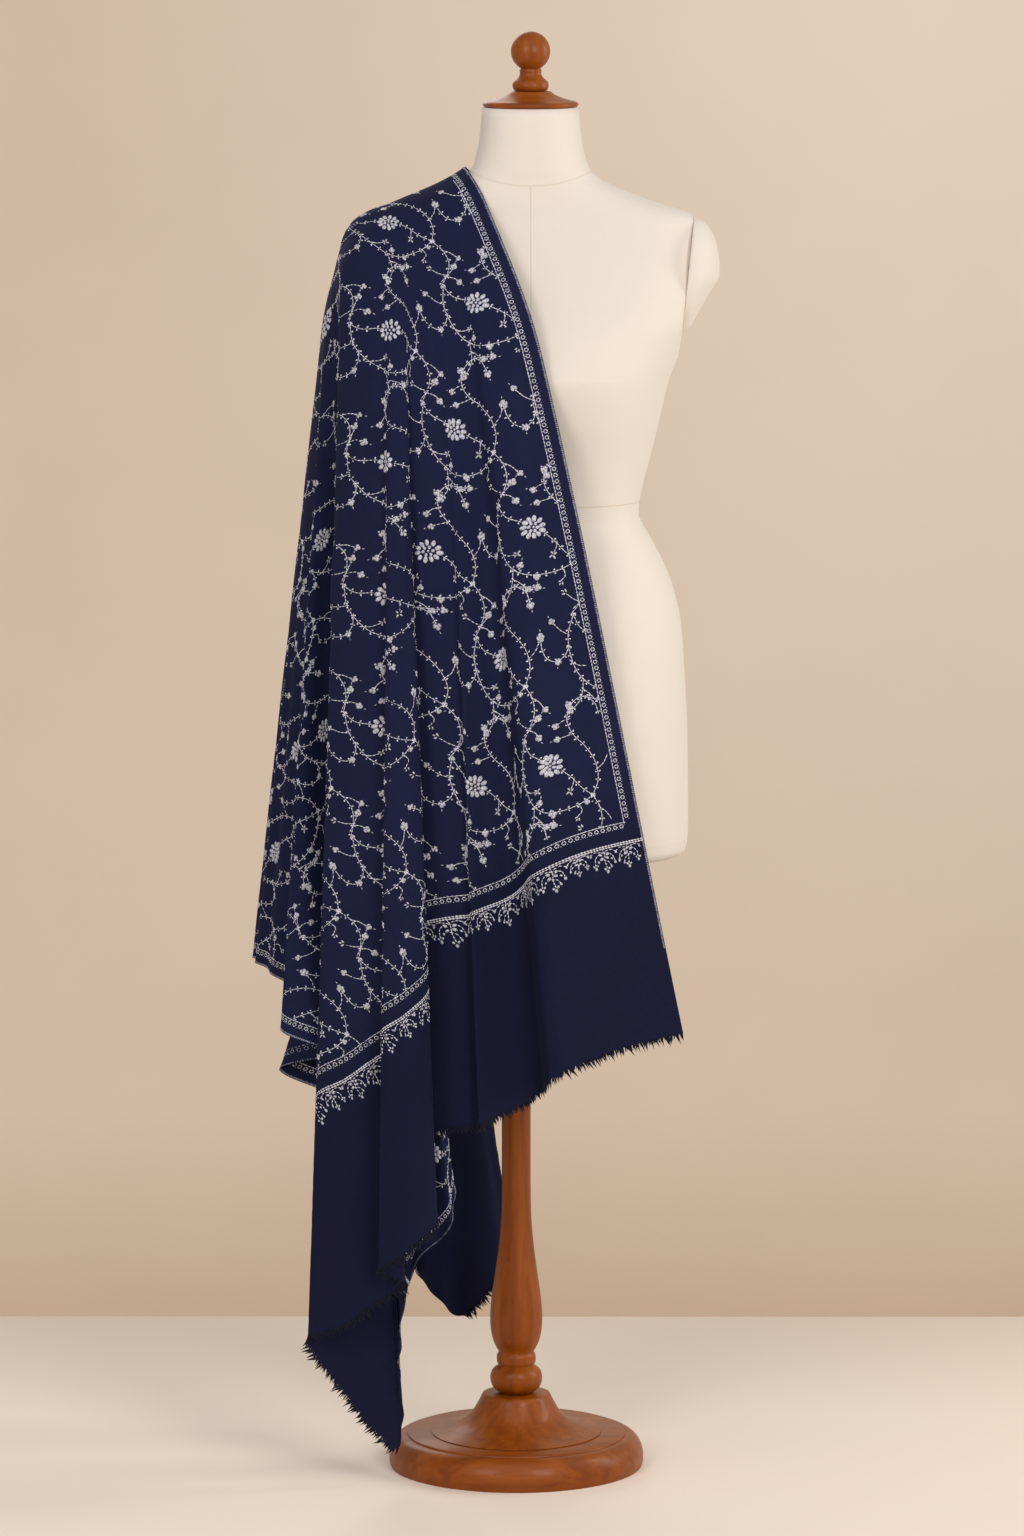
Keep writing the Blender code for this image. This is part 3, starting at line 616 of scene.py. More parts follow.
@dataclass
class DressForm:
    """Padded body and neck of the form, and the padded plates on the flat ends of its shoulders."""

    centre: float = 0.016
    squareness: float = 0.92
    chest_level: float = 1.27
    arm_low: tuple[float, float] = (0.170, 1.310)
    arm_high: tuple[float, float] = (0.184, 1.440)
    plate_bulge: float = 0.036
    plate_depth: float = 0.098
    plate_taper: tuple[float, float] = (0.42, 0.62)
    seat: float = 0.0003
    columns: int = 120
    level_step: float = 0.010
    smoothness: float = 0.65
    seam_half_width: float = 0.0011
    seam_depth: float = 0.0005
    waist_seam: float = 1.1187
    collar_front: float = 1.4775
    collar_rise: float = 3.2
    levels: tuple[TorsoLevel, ...] = tuple(TorsoLevel(*row) for row in (
        (0.714, 0.168, 0.116, 0.122), (0.720, 0.177, 0.124, 0.130), (0.735, 0.180, 0.127, 0.133),
        (0.800, 0.180, 0.128, 0.136), (0.860, 0.179, 0.127, 0.136), (0.935, 0.175, 0.121, 0.126),
        (0.990, 0.170, 0.114, 0.112), (1.034, 0.158, 0.105, 0.100), (1.071, 0.140, 0.097, 0.090),
        (1.102, 0.123, 0.092, 0.084), (1.135, 0.127, 0.094, 0.086), (1.169, 0.136, 0.101, 0.090),
        (1.215, 0.147, 0.118, 0.096), (1.261, 0.158, 0.131, 0.101), (1.300, 0.176, 0.121, 0.104),
        (1.320, 0.188, 0.113, 0.105), (1.355, 0.196, 0.094, 0.104), (1.395, 0.197, 0.074, 0.092),
        (1.422, 0.196, 0.060, 0.074), (1.438, 0.192, 0.054, 0.064), (1.447, 0.174, 0.052, 0.061),
        (1.458, 0.138, 0.051, 0.058), (1.471, 0.104, 0.050, 0.055), (1.483, 0.079, 0.050, 0.054),
        (1.496, 0.066, 0.051, 0.054), (1.520, 0.059, 0.051, 0.053), (1.545, 0.056, 0.052, 0.053),
        (1.5635, 0.055, 0.052, 0.053),
    ))

    def heights(self) -> np.ndarray:
        """Works out the levels of the fine mesh, closer together at the waist seam and round the collar.

        Returns:
            The levels, from the lowest up.
        """
        low, high = self.levels[0].z, self.levels[-1].z
        plain = np.linspace(low, high, round((high - low) / self.level_step) + 1)
        known = np.array([level.z for level in self.levels])
        waist = self.waist_seam + self.seam_half_width * np.linspace(-2, 2, 9)
        collar = np.arange(self.collar_front - 0.003, self.collar_front + 0.022, 0.0009)
        every = np.sort(np.concatenate([plain, known, waist, collar]))
        return every[np.concatenate([[True], np.diff(every) > 0.0002])]

    def angles(self) -> np.ndarray:
        """Works out the places round the torso, closer together at the front and back seams.

        Returns:
            The angles, in order.
        """
        even = np.linspace(0, 2 * math.pi, self.columns, endpoint=False)
        fine = np.array([-0.016, -0.010, -0.0065, -0.0035, 0.0035, 0.0065, 0.010, 0.016])
        return np.unique(np.concatenate([even, 1.5 * math.pi + fine, 0.5 * math.pi + fine]))

    def arm_plane(self, z: np.ndarray) -> np.ndarray:
        """How far the flat end of the torso lies from its middle at the level z."""
        slope = (self.arm_high[0] - self.arm_low[0]) / (self.arm_high[1] - self.arm_low[1])
        return self.arm_low[0] + slope * (z - self.arm_low[1])

    def torso_points(self, flat_ends: bool) -> np.ndarray:
        """Works out the points of the torso.

        Args:
            flat_ends: whether the shoulders are cut flat at the arms.

        Returns:
            The points as [level, column].
        """
        heights, angles = self.heights(), self.angles()
        table = np.array(self.levels, float)
        sizes = np.stack([np.interp(heights, table[:, 0], table[:, side]) for side in (1, 2, 3)], axis=1)
        sizes += self.smoothness * (hermite(table[:, 0], table[:, 1:], heights) - sizes)
        across, deep = np.cos(angles), np.sin(angles)
        reach = sizes[:, :1] * np.abs(across) ** self.squareness
        if flat_ends:
            plane = self.arm_plane(heights)[:, None]
            reach = np.where(heights[:, None] > self.chest_level, np.minimum(reach, plane), reach)
        depth = np.where(deep > 0, sizes[:, 2:3], sizes[:, 1:2]) * np.abs(deep) ** self.squareness
        level = np.repeat(heights[:, None], len(angles), axis=1)
        return np.stack([self.centre + np.sign(across) * reach, np.sign(deep) * depth, level], axis=2)

    def seam_share(self, points: np.ndarray) -> np.ndarray:
        """Finds the points that lie in a sewn seam: the waist, the collar, or an upright one, front or back.

        Args:
            points: points of the torso.

        Returns:
            How deep in a seam each one lies, from 0 to 1.
        """
        x, y, z = points[..., 0] - self.centre, points[..., 1], points[..., 2]
        collar = self.collar_front + self.collar_rise * x**2
        upright = np.where((z < collar) | (y > 0), np.abs(x), 1.0)
        waist, neck = np.abs(z - self.waist_seam), np.abs(z - collar)
        nearest = np.minimum(np.minimum(upright, waist), neck)
        return np.clip(1 - nearest / self.seam_half_width, 0, 1)

    def torso_mesh(self, name: str, flat_ends: bool = True) -> bpy.types.Mesh:
        """Makes the torso as one closed mesh with its seams sunk in.

        Args:
            name: the mesh's name.
            flat_ends: whether the shoulders are cut flat at the arms.

        Returns:
            The mesh, with how deep in a seam each point lies as an attribute.
        """
        points = self.torso_points(flat_ends)
        seam = self.seam_share(points)
        middle = np.array((self.centre, 0.0, 0.0)) + points * (0, 0, 1)
        points = points - unit(points - middle) * (seam * self.seam_depth)[..., None]
        rows, columns = seam.shape
        faces = [tuple(reversed(range(columns)))]
        for low in range(0, (rows - 1) * columns, columns):
            faces += [(low + i, low + (i + 1) % columns, low + columns + (i + 1) % columns, low + columns + i)
                      for i in range(columns)]
        faces.append(tuple(range((rows - 1) * columns, rows * columns)))
        mesh = mesh_of(name, points.reshape(-1, 3), faces)
        layer = mesh.attributes.new("seam", "FLOAT", "POINT")
        layer.data.foreach_set("value", seam.ravel().astype(np.float32))
        return mesh

    def plate_mesh(self, name: str, side: int, whole: bool = False) -> bpy.types.Mesh:
        """Makes the padded plate on the flat end of a shoulder: half an egg seated on the arm plane.

        Args:
            name: the mesh's name.
            side: 1 for the bare shoulder, -1 for the draped one.
            whole: whether the egg is left whole, for cloth to clear.

        Returns:
            The mesh.
        """
        low, high = (np.array((across, 0.0, z)) for across, z in (self.arm_low, self.arm_high))
        taper, run = self.plate_taper
        shape = bmesh.new()
        bmesh.ops.create_uvsphere(shape, u_segments=64, v_segments=40, radius=1.0)
        if not whole:
            cut = bmesh.ops.bisect_plane(shape, geom=shape.verts[:] + shape.edges[:] + shape.faces[:],
                                         plane_co=(0, 0, 0), plane_no=(-1, 0, 0), clear_outer=True)
            rim = [piece for piece in cut["geom_cut"] if isinstance(piece, bmesh.types.BMEdge)]
            bmesh.ops.contextual_create(shape, geom=rim)
        half_height = np.linalg.norm(high - low) / 2
        for vert in shape.verts:
            if vert.co.z < 0 and not whole:
                vert.co.x *= 1 - taper * math.sin(-vert.co.z * math.pi * run)
            vert.co = Vector((vert.co.x * self.plate_bulge + self.seat, vert.co.y * self.plate_depth / 2,
                              vert.co.z * half_height))
        tilt = math.atan2(high[0] - low[0], high[2] - low[2])
        middle = (low + high) / 2
        for vert in shape.verts:
            x, z = vert.co.x, vert.co.z
            vert.co.x = side * (middle[0] + x * math.cos(tilt) + z * math.sin(tilt)) + self.centre
            vert.co.z = middle[2] - x * math.sin(tilt) + z * math.cos(tilt)
        if side < 0:
            bmesh.ops.reverse_faces(shape, faces=shape.faces)
        mesh = bpy.data.meshes.new(name)
        shape.to_mesh(mesh)
        shape.free()
        return mesh

    def rounded(self) -> tuple[BVHTree, BVHTree]:
        """Makes search trees over the torso and the draped shoulder, without flat ends, for cloth to clear.

        Returns:
            The two trees.
        """
        trees = []
        for mesh in (self.torso_mesh("rounded_torso", False), self.plate_mesh("rounded_plate", -1, True)):
            shape = bmesh.new()
            shape.from_mesh(mesh)
            trees.append(BVHTree.FromBMesh(shape))
            shape.free()
            bpy.data.meshes.remove(mesh)
        return tuple(trees)

    def build(self) -> list[bpy.types.Object]:
        """Makes the torso and both plates.

        Returns:
            The three padded pieces.
        """
        cover = CreamCover().build()
        pieces = [new_object("cover_torso", self.torso_mesh("cover_torso"), cover)]
        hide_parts("form_torso")
        for name, side, node in (("cover_plate_draped", -1, "form_shoulder_cap_draped"),
                                 ("cover_plate_bare", 1, "form_shoulder_cap_bare")):
            plate = new_object(name, self.plate_mesh(name, side), cover)
            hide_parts(node)
            pieces.append(plate)
        for piece in pieces:
            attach(piece, BODY)
        return pieces


# ---- Turned wood ----


@dataclass
class TurnedStand:
    """The five turned pieces: neck cap, finial, pole, pedestal and base."""

    steps: int = 96
    seat: float = 0.0003
    form_centre: float = 0.016
    form_bottom: float = 0.714
    neck_top: float = 1.5635
    base_radius: float = 0.147
    base_height: float = 0.038
    edge_level: float = 0.010
    groove_radius: float = 0.126
    groove_depth: float = 0.002
    pedestal_top: float = 0.083
    pedestal_ledge: float = 0.001
    pole_radius: float = 0.0166
    cap_radius: float = 0.054
    cap_height: float = 0.0185
    ball_radius: float = 0.0222
    ball_height: float = 0.044

    def turned(self, name: str, profile: list, centre: float, finish: Finish, node: str) -> bpy.types.Object:
        """Turns a half profile round its axis.

        Args:
            name: the piece's name.
            profile: (radius, z) from the top of the axis, down the outside, to the bottom of the axis.
            centre: x of the axis.
            finish: the wood.
            node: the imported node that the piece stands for.

        Returns:
            The finished piece.
        """
        rows = np.array(profile[1:-1], float)
        turns = np.linspace(0, 2 * math.pi, self.steps, endpoint=False)
        ring = np.stack([np.cos(turns), np.sin(turns)], axis=1)
        points = np.concatenate([
            np.concatenate([ring * radius + (centre, 0), np.full((self.steps, 1), z)], axis=1)
            for radius, z in rows])
        top, bottom = len(points), len(points) + 1
        points = np.concatenate([points, [(centre, 0, profile[0][1]), (centre, 0, profile[-1][1])]])
        last = (len(rows) - 1) * self.steps
        faces = []
        for i in range(self.steps):
            j = (i + 1) % self.steps
            faces.append((top, i, j))
            faces.append((bottom, last + j, last + i))
            faces += [(row + i, row + self.steps + i, row + self.steps + j, row + j)
                      for row in range(0, last, self.steps)]
        obj = new_object(name, mesh_of(name, points, faces), finish.build())
        obj.data.set_sharp_from_angle(angle=math.radians(50))
        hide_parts(node)
        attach(obj, BODY)
        return obj

    def build(self) -> list[bpy.types.Object]:
        """Makes all five pieces."""
        return [self.base(), self.pedestal(), self.pole(), self.cap(), self.finial()]

    def base(self) -> bpy.types.Object:
        """Turns the round base, with a fine groove inside its rounded edge.

        Returns:
            The piece.
        """
        width = self.base_radius - self.groove_radius
        height = self.base_height - self.groove_depth - self.edge_level
        profile = [(0.0, self.base_height), (self.groove_radius * 0.6, self.base_height),
                   (self.groove_radius - 0.0012, self.base_height),
                   (self.groove_radius - 0.0003, self.base_height - 0.0006),
                   (self.groove_radius, self.base_height - self.groove_depth)]
        profile += [(self.groove_radius + self.groove_depth + (width - self.groove_depth) * math.sin(angle),
                     self.edge_level + height * math.cos(angle)) for angle in np.linspace(0, math.pi / 2, 14)]
        lip = self.base_radius - self.groove_depth
        profile += [(self.base_radius - 0.0002, 0.006), (lip + 0.001, 0.002), (lip, 0.0), (0.0, 0.0)]
        return self.turned("wood_base", profile, 0.0, VarnishedBeechPlank(), "stand_base")

    def pedestal(self) -> bpy.types.Object:
        """Turns the bell-shaped foot under the pole.

        Returns:
            The piece.
        """
        foot = self.base_height + self.seat
        flare = smoothed([(0.039, self.pedestal_top), (0.044, 0.073), (0.053, 0.059), (0.070, 0.047),
                          (0.098, foot + self.pedestal_ledge)], 26)
        top = self.pedestal_top + self.pedestal_ledge
        profile = [(0.0, top), (0.036, top), (0.038, top - 0.0003), *flare, (0.098, foot), (0.0, foot)]
        return self.turned("wood_pedestal", profile, 0.0, VarnishedBeech(), "stand_pedestal")

    def pole(self) -> bpy.types.Object:
        """Turns the straight pole that swells into a vase, over a bead and a knop.

        Returns:
            The piece.
        """
        bottom = self.pedestal_top + self.pedestal_ledge + self.seat
        radius = self.pole_radius
        vase = smoothed([(radius, 0.330), (0.0175, 0.290), (0.0205, 0.255), (0.0250, 0.222), (0.0292, 0.190),
                         (0.0300, 0.165), (0.0268, 0.146), (0.0205, 0.133)], 40)
        bead = smoothed([(0.0205, 0.1315), (0.0220, 0.1295), (0.0226, 0.1245), (0.0220, 0.1195),
                         (0.0205, 0.1175)], 12)
        knop = smoothed([(0.0205, 0.1165), (0.0275, 0.111), (0.0300, 0.102), (0.0275, 0.092),
                         (0.0190, bottom)], 22)
        shaft = [(radius, z) for z in np.linspace(self.form_bottom - self.seat, 0.345, 12)]
        profile = [(0.0, self.form_bottom - self.seat), *shaft, *vase, *bead, *knop, (0.0, bottom)]
        return self.turned("wood_pole", profile, 0.0, VarnishedBeech(), "stand_pole")

    def cap(self) -> bpy.types.Object:
        """Turns the low cap on the neck, with a rounded rim.

        Returns:
            The piece.
        """
        foot = self.neck_top + self.seat
        top = foot + self.cap_height
        radius = self.cap_radius
        rim = smoothed([(0.0225, top - 0.0008), (0.0300, foot + 0.0128), (0.0440, foot + 0.0080),
                        (radius - 0.0022, foot + 0.0060), (radius, foot + 0.0035),
                        (radius - 0.0015, foot + 0.0008), (radius - 0.003, foot)], 30)
        profile = [(0.0, top), (0.0215, top - 0.0005), *rim, (0.0, foot)]
        return self.turned("wood_neck_cap", profile, self.form_centre, VarnishedBeechPlank(), "form_neck_cap")

    def finial(self) -> bpy.types.Object:
        """Turns the ball on its waisted collar.

        Returns:
            The piece.
        """
        low = self.neck_top + self.seat + self.cap_height + self.seat
        ball = [(self.ball_radius * math.sin(angle),
                 low + self.ball_height + self.ball_radius * math.cos(angle))
                for angle in np.linspace(0, math.radians(150), 34)]
        collar = smoothed([(0.0125, low + 0.0225), (0.0122, low + 0.0185), (0.0150, low + 0.0140),
                           (0.0192, low + 0.0100), (0.0205, low + 0.006), (0.0197, low + 0.002),
                           (0.0180, low)], 26)
        return self.turned("wood_finial", [*ball, *collar, (0.0, low)], self.form_centre, VarnishedBeech(),
                           "form_finial")


# ---- Shawl ----


class RidgePlace(NamedTuple):
    """A place on the shoulder ridge: distance from the cloth's neck edge, and the shoulder's reach there."""

    start: float
    x: float
    z: float
    roll_front: float
    chest: float
    roll_back: float
    blade: float


class HangLine(NamedTuple):
    """A line of the cloth from the ridge to the cut edge: where it starts, where it ends on the flat cloth,
    and where that end hangs. A late line lies flat between its neighbours until it folds low down."""

    start: float
    across: float
    along: float
    x: float
    y: float
    z: float
    late: bool = False


class Gather(NamedTuple):
    """A small fold down a hang line: its place along the cut edge, half width there and height there."""

    edge: float
    half_width: float
    height: float


class Crease(NamedTuple):
    """A soft crease on the flat cloth: its two ends, how far it stands out, and its half width, in metres."""

    across_top: float
    along_top: float
    across_foot: float
    along_foot: float
    height: float
    half_width: float


@dataclass
class DrapedCloth:
    """The whole shawl as one surface over the flat cloth, and the two thin shells cut from it."""

    width: float = 1.03
    front_length: float = 1.06
    back_length: float = 1.02
    thickness: float = 0.0009
    cell: float = 0.0058
    clearance: float = 0.0034
    roll_drop: float = 0.035
    chest_drop: float = 0.20
    chest_spread: float = 0.036
    chest_spread_width: float = 0.12
    roll_spread_share: float = 0.25
    late_level: float = 0.75
    late_spread: float = 0.75
    fan_rows: int = 320
    fan_step: float = 0.0015
    fine_points: int = 700
    halvings: int = 36
    broad_rounds: int = 60
    form_bottom: float = 0.70
    ridge: tuple[RidgePlace, ...] = tuple(RidgePlace(*row) for row in (
        (0.000, -0.0587, 1.4965, -0.052, -0.146, 0.055, 0.112),
        (0.025, -0.0828, 1.4820, -0.055, -0.149, 0.056, 0.116),
        (0.050, -0.1070, 1.4710, -0.058, -0.149, 0.057, 0.117),
        (0.083, -0.1370, 1.4585, -0.061, -0.146, 0.059, 0.115),
        (0.116, -0.1667, 1.4440, -0.064, -0.128, 0.061, 0.104),
        (0.146, -0.1886, 1.4245, -0.064, -0.096, 0.062, 0.086),
        (0.172, -0.2000, 1.4005, -0.058, -0.078, 0.056, 0.070),
        (0.197, -0.2060, 1.3770, -0.048, -0.062, 0.046, 0.054),
        (0.225, -0.2140, 1.3500, -0.031, -0.040, 0.030, 0.035),
        (0.265, -0.2220, 1.3110, 0.000, 0.000, 0.000, 0.000),
    ))

    gather_inset: float = 0.42
    gather_spread: float = 2.4
    gathers: tuple[Gather, ...] = tuple(Gather(*row) for row in (
        (1.078, 0.015, 0.007), (1.128, 0.014, 0.006), (1.172, 0.016, 0.008), (1.228, 0.014, 0.007),
        (1.272, 0.015, 0.006), (1.330, 0.016, 0.008), (1.378, 0.014, 0.006), (1.424, 0.015, 0.007),
        (1.478, 0.016, 0.007), (1.524, 0.014, 0.006), (1.578, 0.015, 0.006), (2.022, 0.017, 0.008),
        (2.068, 0.015, 0.010), (2.125, 0.018, 0.021), (2.187, 0.016, 0.019), (2.249, 0.018, 0.022),
        (2.309, 0.016, 0.019), (2.371, 0.017, 0.020), (2.421, 0.014, 0.014), (2.490, 0.017, 0.015),
        (2.532, 0.014, 0.006), (2.612, 0.016, 0.007), (2.650, 0.014, 0.006), (2.732, 0.016, 0.010),
        (2.770, 0.014, 0.006), (2.848, 0.016, 0.010), (2.899, 0.016, 0.016), (2.957, 0.016, 0.018),
        (3.006, 0.015, 0.013), (3.068, 0.016, 0.006), (3.208, 0.015, 0.005), (3.262, 0.015, 0.014),
        (3.290, 0.013, 0.008), (3.338, 0.016, 0.016), (3.410, 0.018, 0.009), (3.568, 0.014, 0.008),
        (3.634, 0.020, 0.012), (3.705, 0.018, 0.020), (3.751, 0.015, 0.018), (3.798, 0.018, 0.024),
        (3.846, 0.016, 0.022), (3.899, 0.018, 0.027), (3.948, 0.016, 0.021), (4.000, 0.018, 0.028),
        (4.050, 0.016, 0.023), (4.098, 0.017, 0.026),
    ))
    creases: tuple[Crease, ...] = tuple(Crease(*row) for row in (
        (0.030, 0.060, 0.170, 0.760, 0.0016, 0.011), (0.045, 0.020, 0.250, 0.560, 0.0013, 0.008),
        (0.012, 0.110, 0.060, 0.500, 0.0012, 0.010), (0.090, 0.060, 0.420, 0.600, 0.0014, 0.010),
        (0.060, 0.250, 0.125, 0.720, 0.0014, 0.012), (0.115, 0.350, 0.215, 0.900, 0.0012, 0.010),
        (0.150, 0.100, 0.640, 0.600, 0.0015, 0.010), (0.200, 0.420, 0.262, 0.800, 0.0010, 0.007),
        (0.170, 0.050, 0.800, 0.540, 0.0015, 0.011), (0.560, 0.640, 0.700, 0.960, 0.0012, 0.008),
        (0.700, 0.600, 0.835, 0.980, 0.0014, 0.011), (0.190, 0.030, 0.720, 0.300, 0.0014, 0.012),
        (0.060, -0.040, 0.260, -0.620, 0.0015, 0.011), (0.110, -0.060, 0.480, -0.700, 0.0014, 0.010),
        (0.030, -0.150, 0.120, -0.760, 0.0015, 0.012), (0.160, -0.050, 0.700, -0.420, 0.0014, 0.010),
        (0.290, -0.400, 0.420, -0.900, 0.0013, 0.010), (0.140, -0.300, 0.260, -0.880, 0.0012, 0.009),
        (0.210, -0.030, 0.900, -0.180, 0.0013, 0.012), (0.560, -0.480, 0.760, -0.860, 0.0014, 0.011),
    ))

    def lines(self) -> list[HangLine]:
        """Lists every hang line, from the front inner edge round the outer edge to the rear inner edge.

        Each row gives where a line starts, then where it ends, across a cut end of the cloth or along its
        outer edge, and then x, y and z of that end.

        Returns:
            The lines.
        """
        broad_panel = [
            (0.000, 0.000, 0.189, -0.108, 0.524), (0.012, 0.063, 0.128, -0.132, 0.514),
            (0.020, 0.105, 0.086, -0.152, 0.503), (0.030, 0.150, 0.040, -0.168, 0.483),
            (0.037, 0.200, 0.028, -0.124, 0.462), (0.042, 0.222, 0.012, -0.120, 0.447),
            (0.048, 0.255, -0.018, -0.134, 0.436), (0.054, 0.286, -0.044, -0.154, 0.428),
            (0.056, 0.303, -0.038, -0.136, 0.424), (0.060, 0.335, -0.076, -0.138, 0.421),
        ]
        deep_pleat = [
            (0.066, 0.390, -0.126, -0.129, 0.408), (0.071, 0.450, -0.168, -0.124, 0.388),
            (0.088, 0.585, -0.089, -0.176, 0.328),
        ]
        narrow_fold = [
            (0.092, 0.650, -0.125, -0.198, 0.289), (0.097, 0.690, -0.156, -0.190, 0.267),
            (0.104, 0.735, -0.124, -0.172, 0.250),
        ]
        second_fold_and_corner = [
            (0.115, 0.780, -0.160, -0.164, 0.225), (0.135, 0.830, -0.198, -0.168, 0.199),
            (0.158, 0.875, -0.237, -0.152, 0.180), (0.162, 0.900, -0.222, -0.137, 0.152),
            (0.166, 0.940, -0.200, -0.129, 0.120), (0.172, 1.000, -0.156, -0.116, 0.061),
            (0.175, self.width, -0.1335, -0.104, 0.044),
        ]
        outer_edge = [
            (0.180, 0.98, -0.1328, -0.105, 0.112), (0.184, 0.88, -0.1300, -0.107, 0.192),
            (0.187, 0.80, -0.112, -0.112, 0.260), (0.190, 0.73, -0.073, -0.122, 0.306),
            (0.193, 0.65, -0.084, -0.092, 0.374), (0.198, 0.55, -0.168, -0.040, 0.424),
            (0.205, 0.443, -0.2705, -0.028, 0.466, True), (0.211, 0.39, -0.220, -0.070, 0.4885, True),
            (0.214, 0.365, -0.188, -0.094, 0.497, True), (0.218, 0.335, -0.2155, -0.120, 0.508, True),
            (0.228, 0.27, -0.266, -0.116, 0.529), (0.237, 0.18, -0.236, -0.088, 0.553),
            (0.247, 0.10, -0.262, -0.056, 0.572), (0.265, 0.0, -0.299, 0.0, 0.590),
            (0.247, -0.13, -0.262, 0.042, 0.575), (0.237, -0.25, -0.248, 0.088, 0.545),
            (0.226, -0.36, -0.203, 0.074, 0.505), (0.216, -0.48, -0.206, 0.124, 0.452),
            (0.205, -0.60, -0.160, 0.106, 0.390), (0.196, -0.72, -0.168, 0.154, 0.320),
            (0.188, -0.84, -0.140, 0.128, 0.235), (0.180, -0.94, -0.104, 0.146, 0.178),
        ]
        rear_corner_and_end = [
            (0.174, self.width, -0.064, 0.128, 0.146), (0.168, 0.965, -0.021, 0.136, 0.193),
            (0.160, 0.90, -0.010, 0.156, 0.236), (0.148, 0.83, -0.070, 0.162, 0.262),
            (0.134, 0.77, -0.118, 0.180, 0.286), (0.121, 0.69, -0.064, 0.176, 0.308),
            (0.110, 0.63, -0.022, 0.166, 0.330), (0.099, 0.55, -0.062, 0.200, 0.368),
            (0.085, 0.46, 0.000, 0.186, 0.415), (0.070, 0.37, 0.038, 0.164, 0.440),
            (0.053, 0.27, 0.066, 0.192, 0.465), (0.035, 0.17, 0.102, 0.166, 0.485),
            (0.016, 0.07, 0.132, 0.182, 0.505), (0.000, 0.00, 0.152, 0.168, 0.520),
        ]
        front_end = broad_panel + deep_pleat + narrow_fold + second_fold_and_corner
        return ([HangLine(start, across, self.front_length, *foot) for start, across, *foot in front_end]
                + [HangLine(start, self.width, along, *foot) for start, along, *foot in outer_edge]
                + [HangLine(start, across, -self.back_length, *foot)
                   for start, across, *foot in rear_corner_and_end])

    def control_points(self, line: HangLine, knee: np.ndarray | None = None) -> np.ndarray:
        """Works out the few points in space that a hang line runs through.

        Args:
            line: the hang line.
            knee: a point low down that it also runs through, if it has one.

        Returns:
            Ridge, shoulder roll, chest or shoulder blade, knee and foot, after a point that only steers them.
        """
        table = np.array(self.ridge, float)
        ridge = RidgePlace(line.start, *hermite(table[:, 0], table[:, 1:], [line.start])[0])
        is_front = line.along > 0
        top, foot = np.array((ridge.x, 0.0, ridge.z)), np.array((line.x, line.y, line.z))
        goal = foot if knee is None else knee
        share = self.chest_drop / (top[2] - goal[2])
        spread = self.chest_spread * max(0.0, 1 - line.start / self.chest_spread_width)
        chest = top + (goal - top) * share
        chest[0] += spread
        chest[1] = (ridge.chest if is_front else ridge.blade) * (1 - share) + goal[1] * share
        shoulder = top + (chest - top) * (self.roll_drop / self.chest_drop)
        shoulder[0] += self.roll_spread_share * spread
        shoulder[1] = ridge.roll_front if is_front else ridge.roll_back
        mirrored = top + (top - shoulder) * np.array((0, 1, 0)) + (0, 0, -self.roll_drop)
        return np.array([mirrored, top, shoulder, chest] + ([] if knee is None else [knee]) + [foot])

    def resampled(self, points: np.ndarray, shares: np.ndarray) -> np.ndarray:
        """Reads the smooth curve through some points, from the second one on.

        Args:
            points: one row for each; the first one only steers the curve.
            shares: the shares of its length at which it is read.

        Returns:
            One point for each share.
        """
        knots = path_length(points)
        fine = hermite(knots, points, np.linspace(knots[1], knots[-1], self.fine_points))
        length = path_length(fine)
        return np.stack([np.interp(shares * length[-1], length, fine[:, axis]) for axis in range(3)], axis=1)

    def hung_lines(self, shares: np.ndarray) -> np.ndarray:
        """Works out every hang line in space. A late one gets a knee between its neighbours.

        Args:
            shares: the shares of its length at which each one is read.

        Returns:
            Points as [line, share].
        """
        table = self.lines()
        controls = [self.control_points(line) for line in table]
        carried = [index for index, line in enumerate(table) if not line.late]
        for index in (index for index, line in enumerate(table) if line.late):
            before = max(other for other in carried if other < index)
            after = min(other for other in carried if other > index)
            share = self.late_spread * (index - before) / (after - before)
            ends = []
            for other in (before, after):
                fine = self.resampled(controls[other], np.linspace(0, 1, 200))
                ends.append(np.array([*(np.interp(-self.late_level, -fine[:, 2], fine[:, axis])
                                        for axis in (0, 1)), self.late_level]))
            controls[index] = self.control_points(table[index], ends[0] * (1 - share) + ends[1] * share)
        return np.array([self.resampled(points, shares) for points in controls])

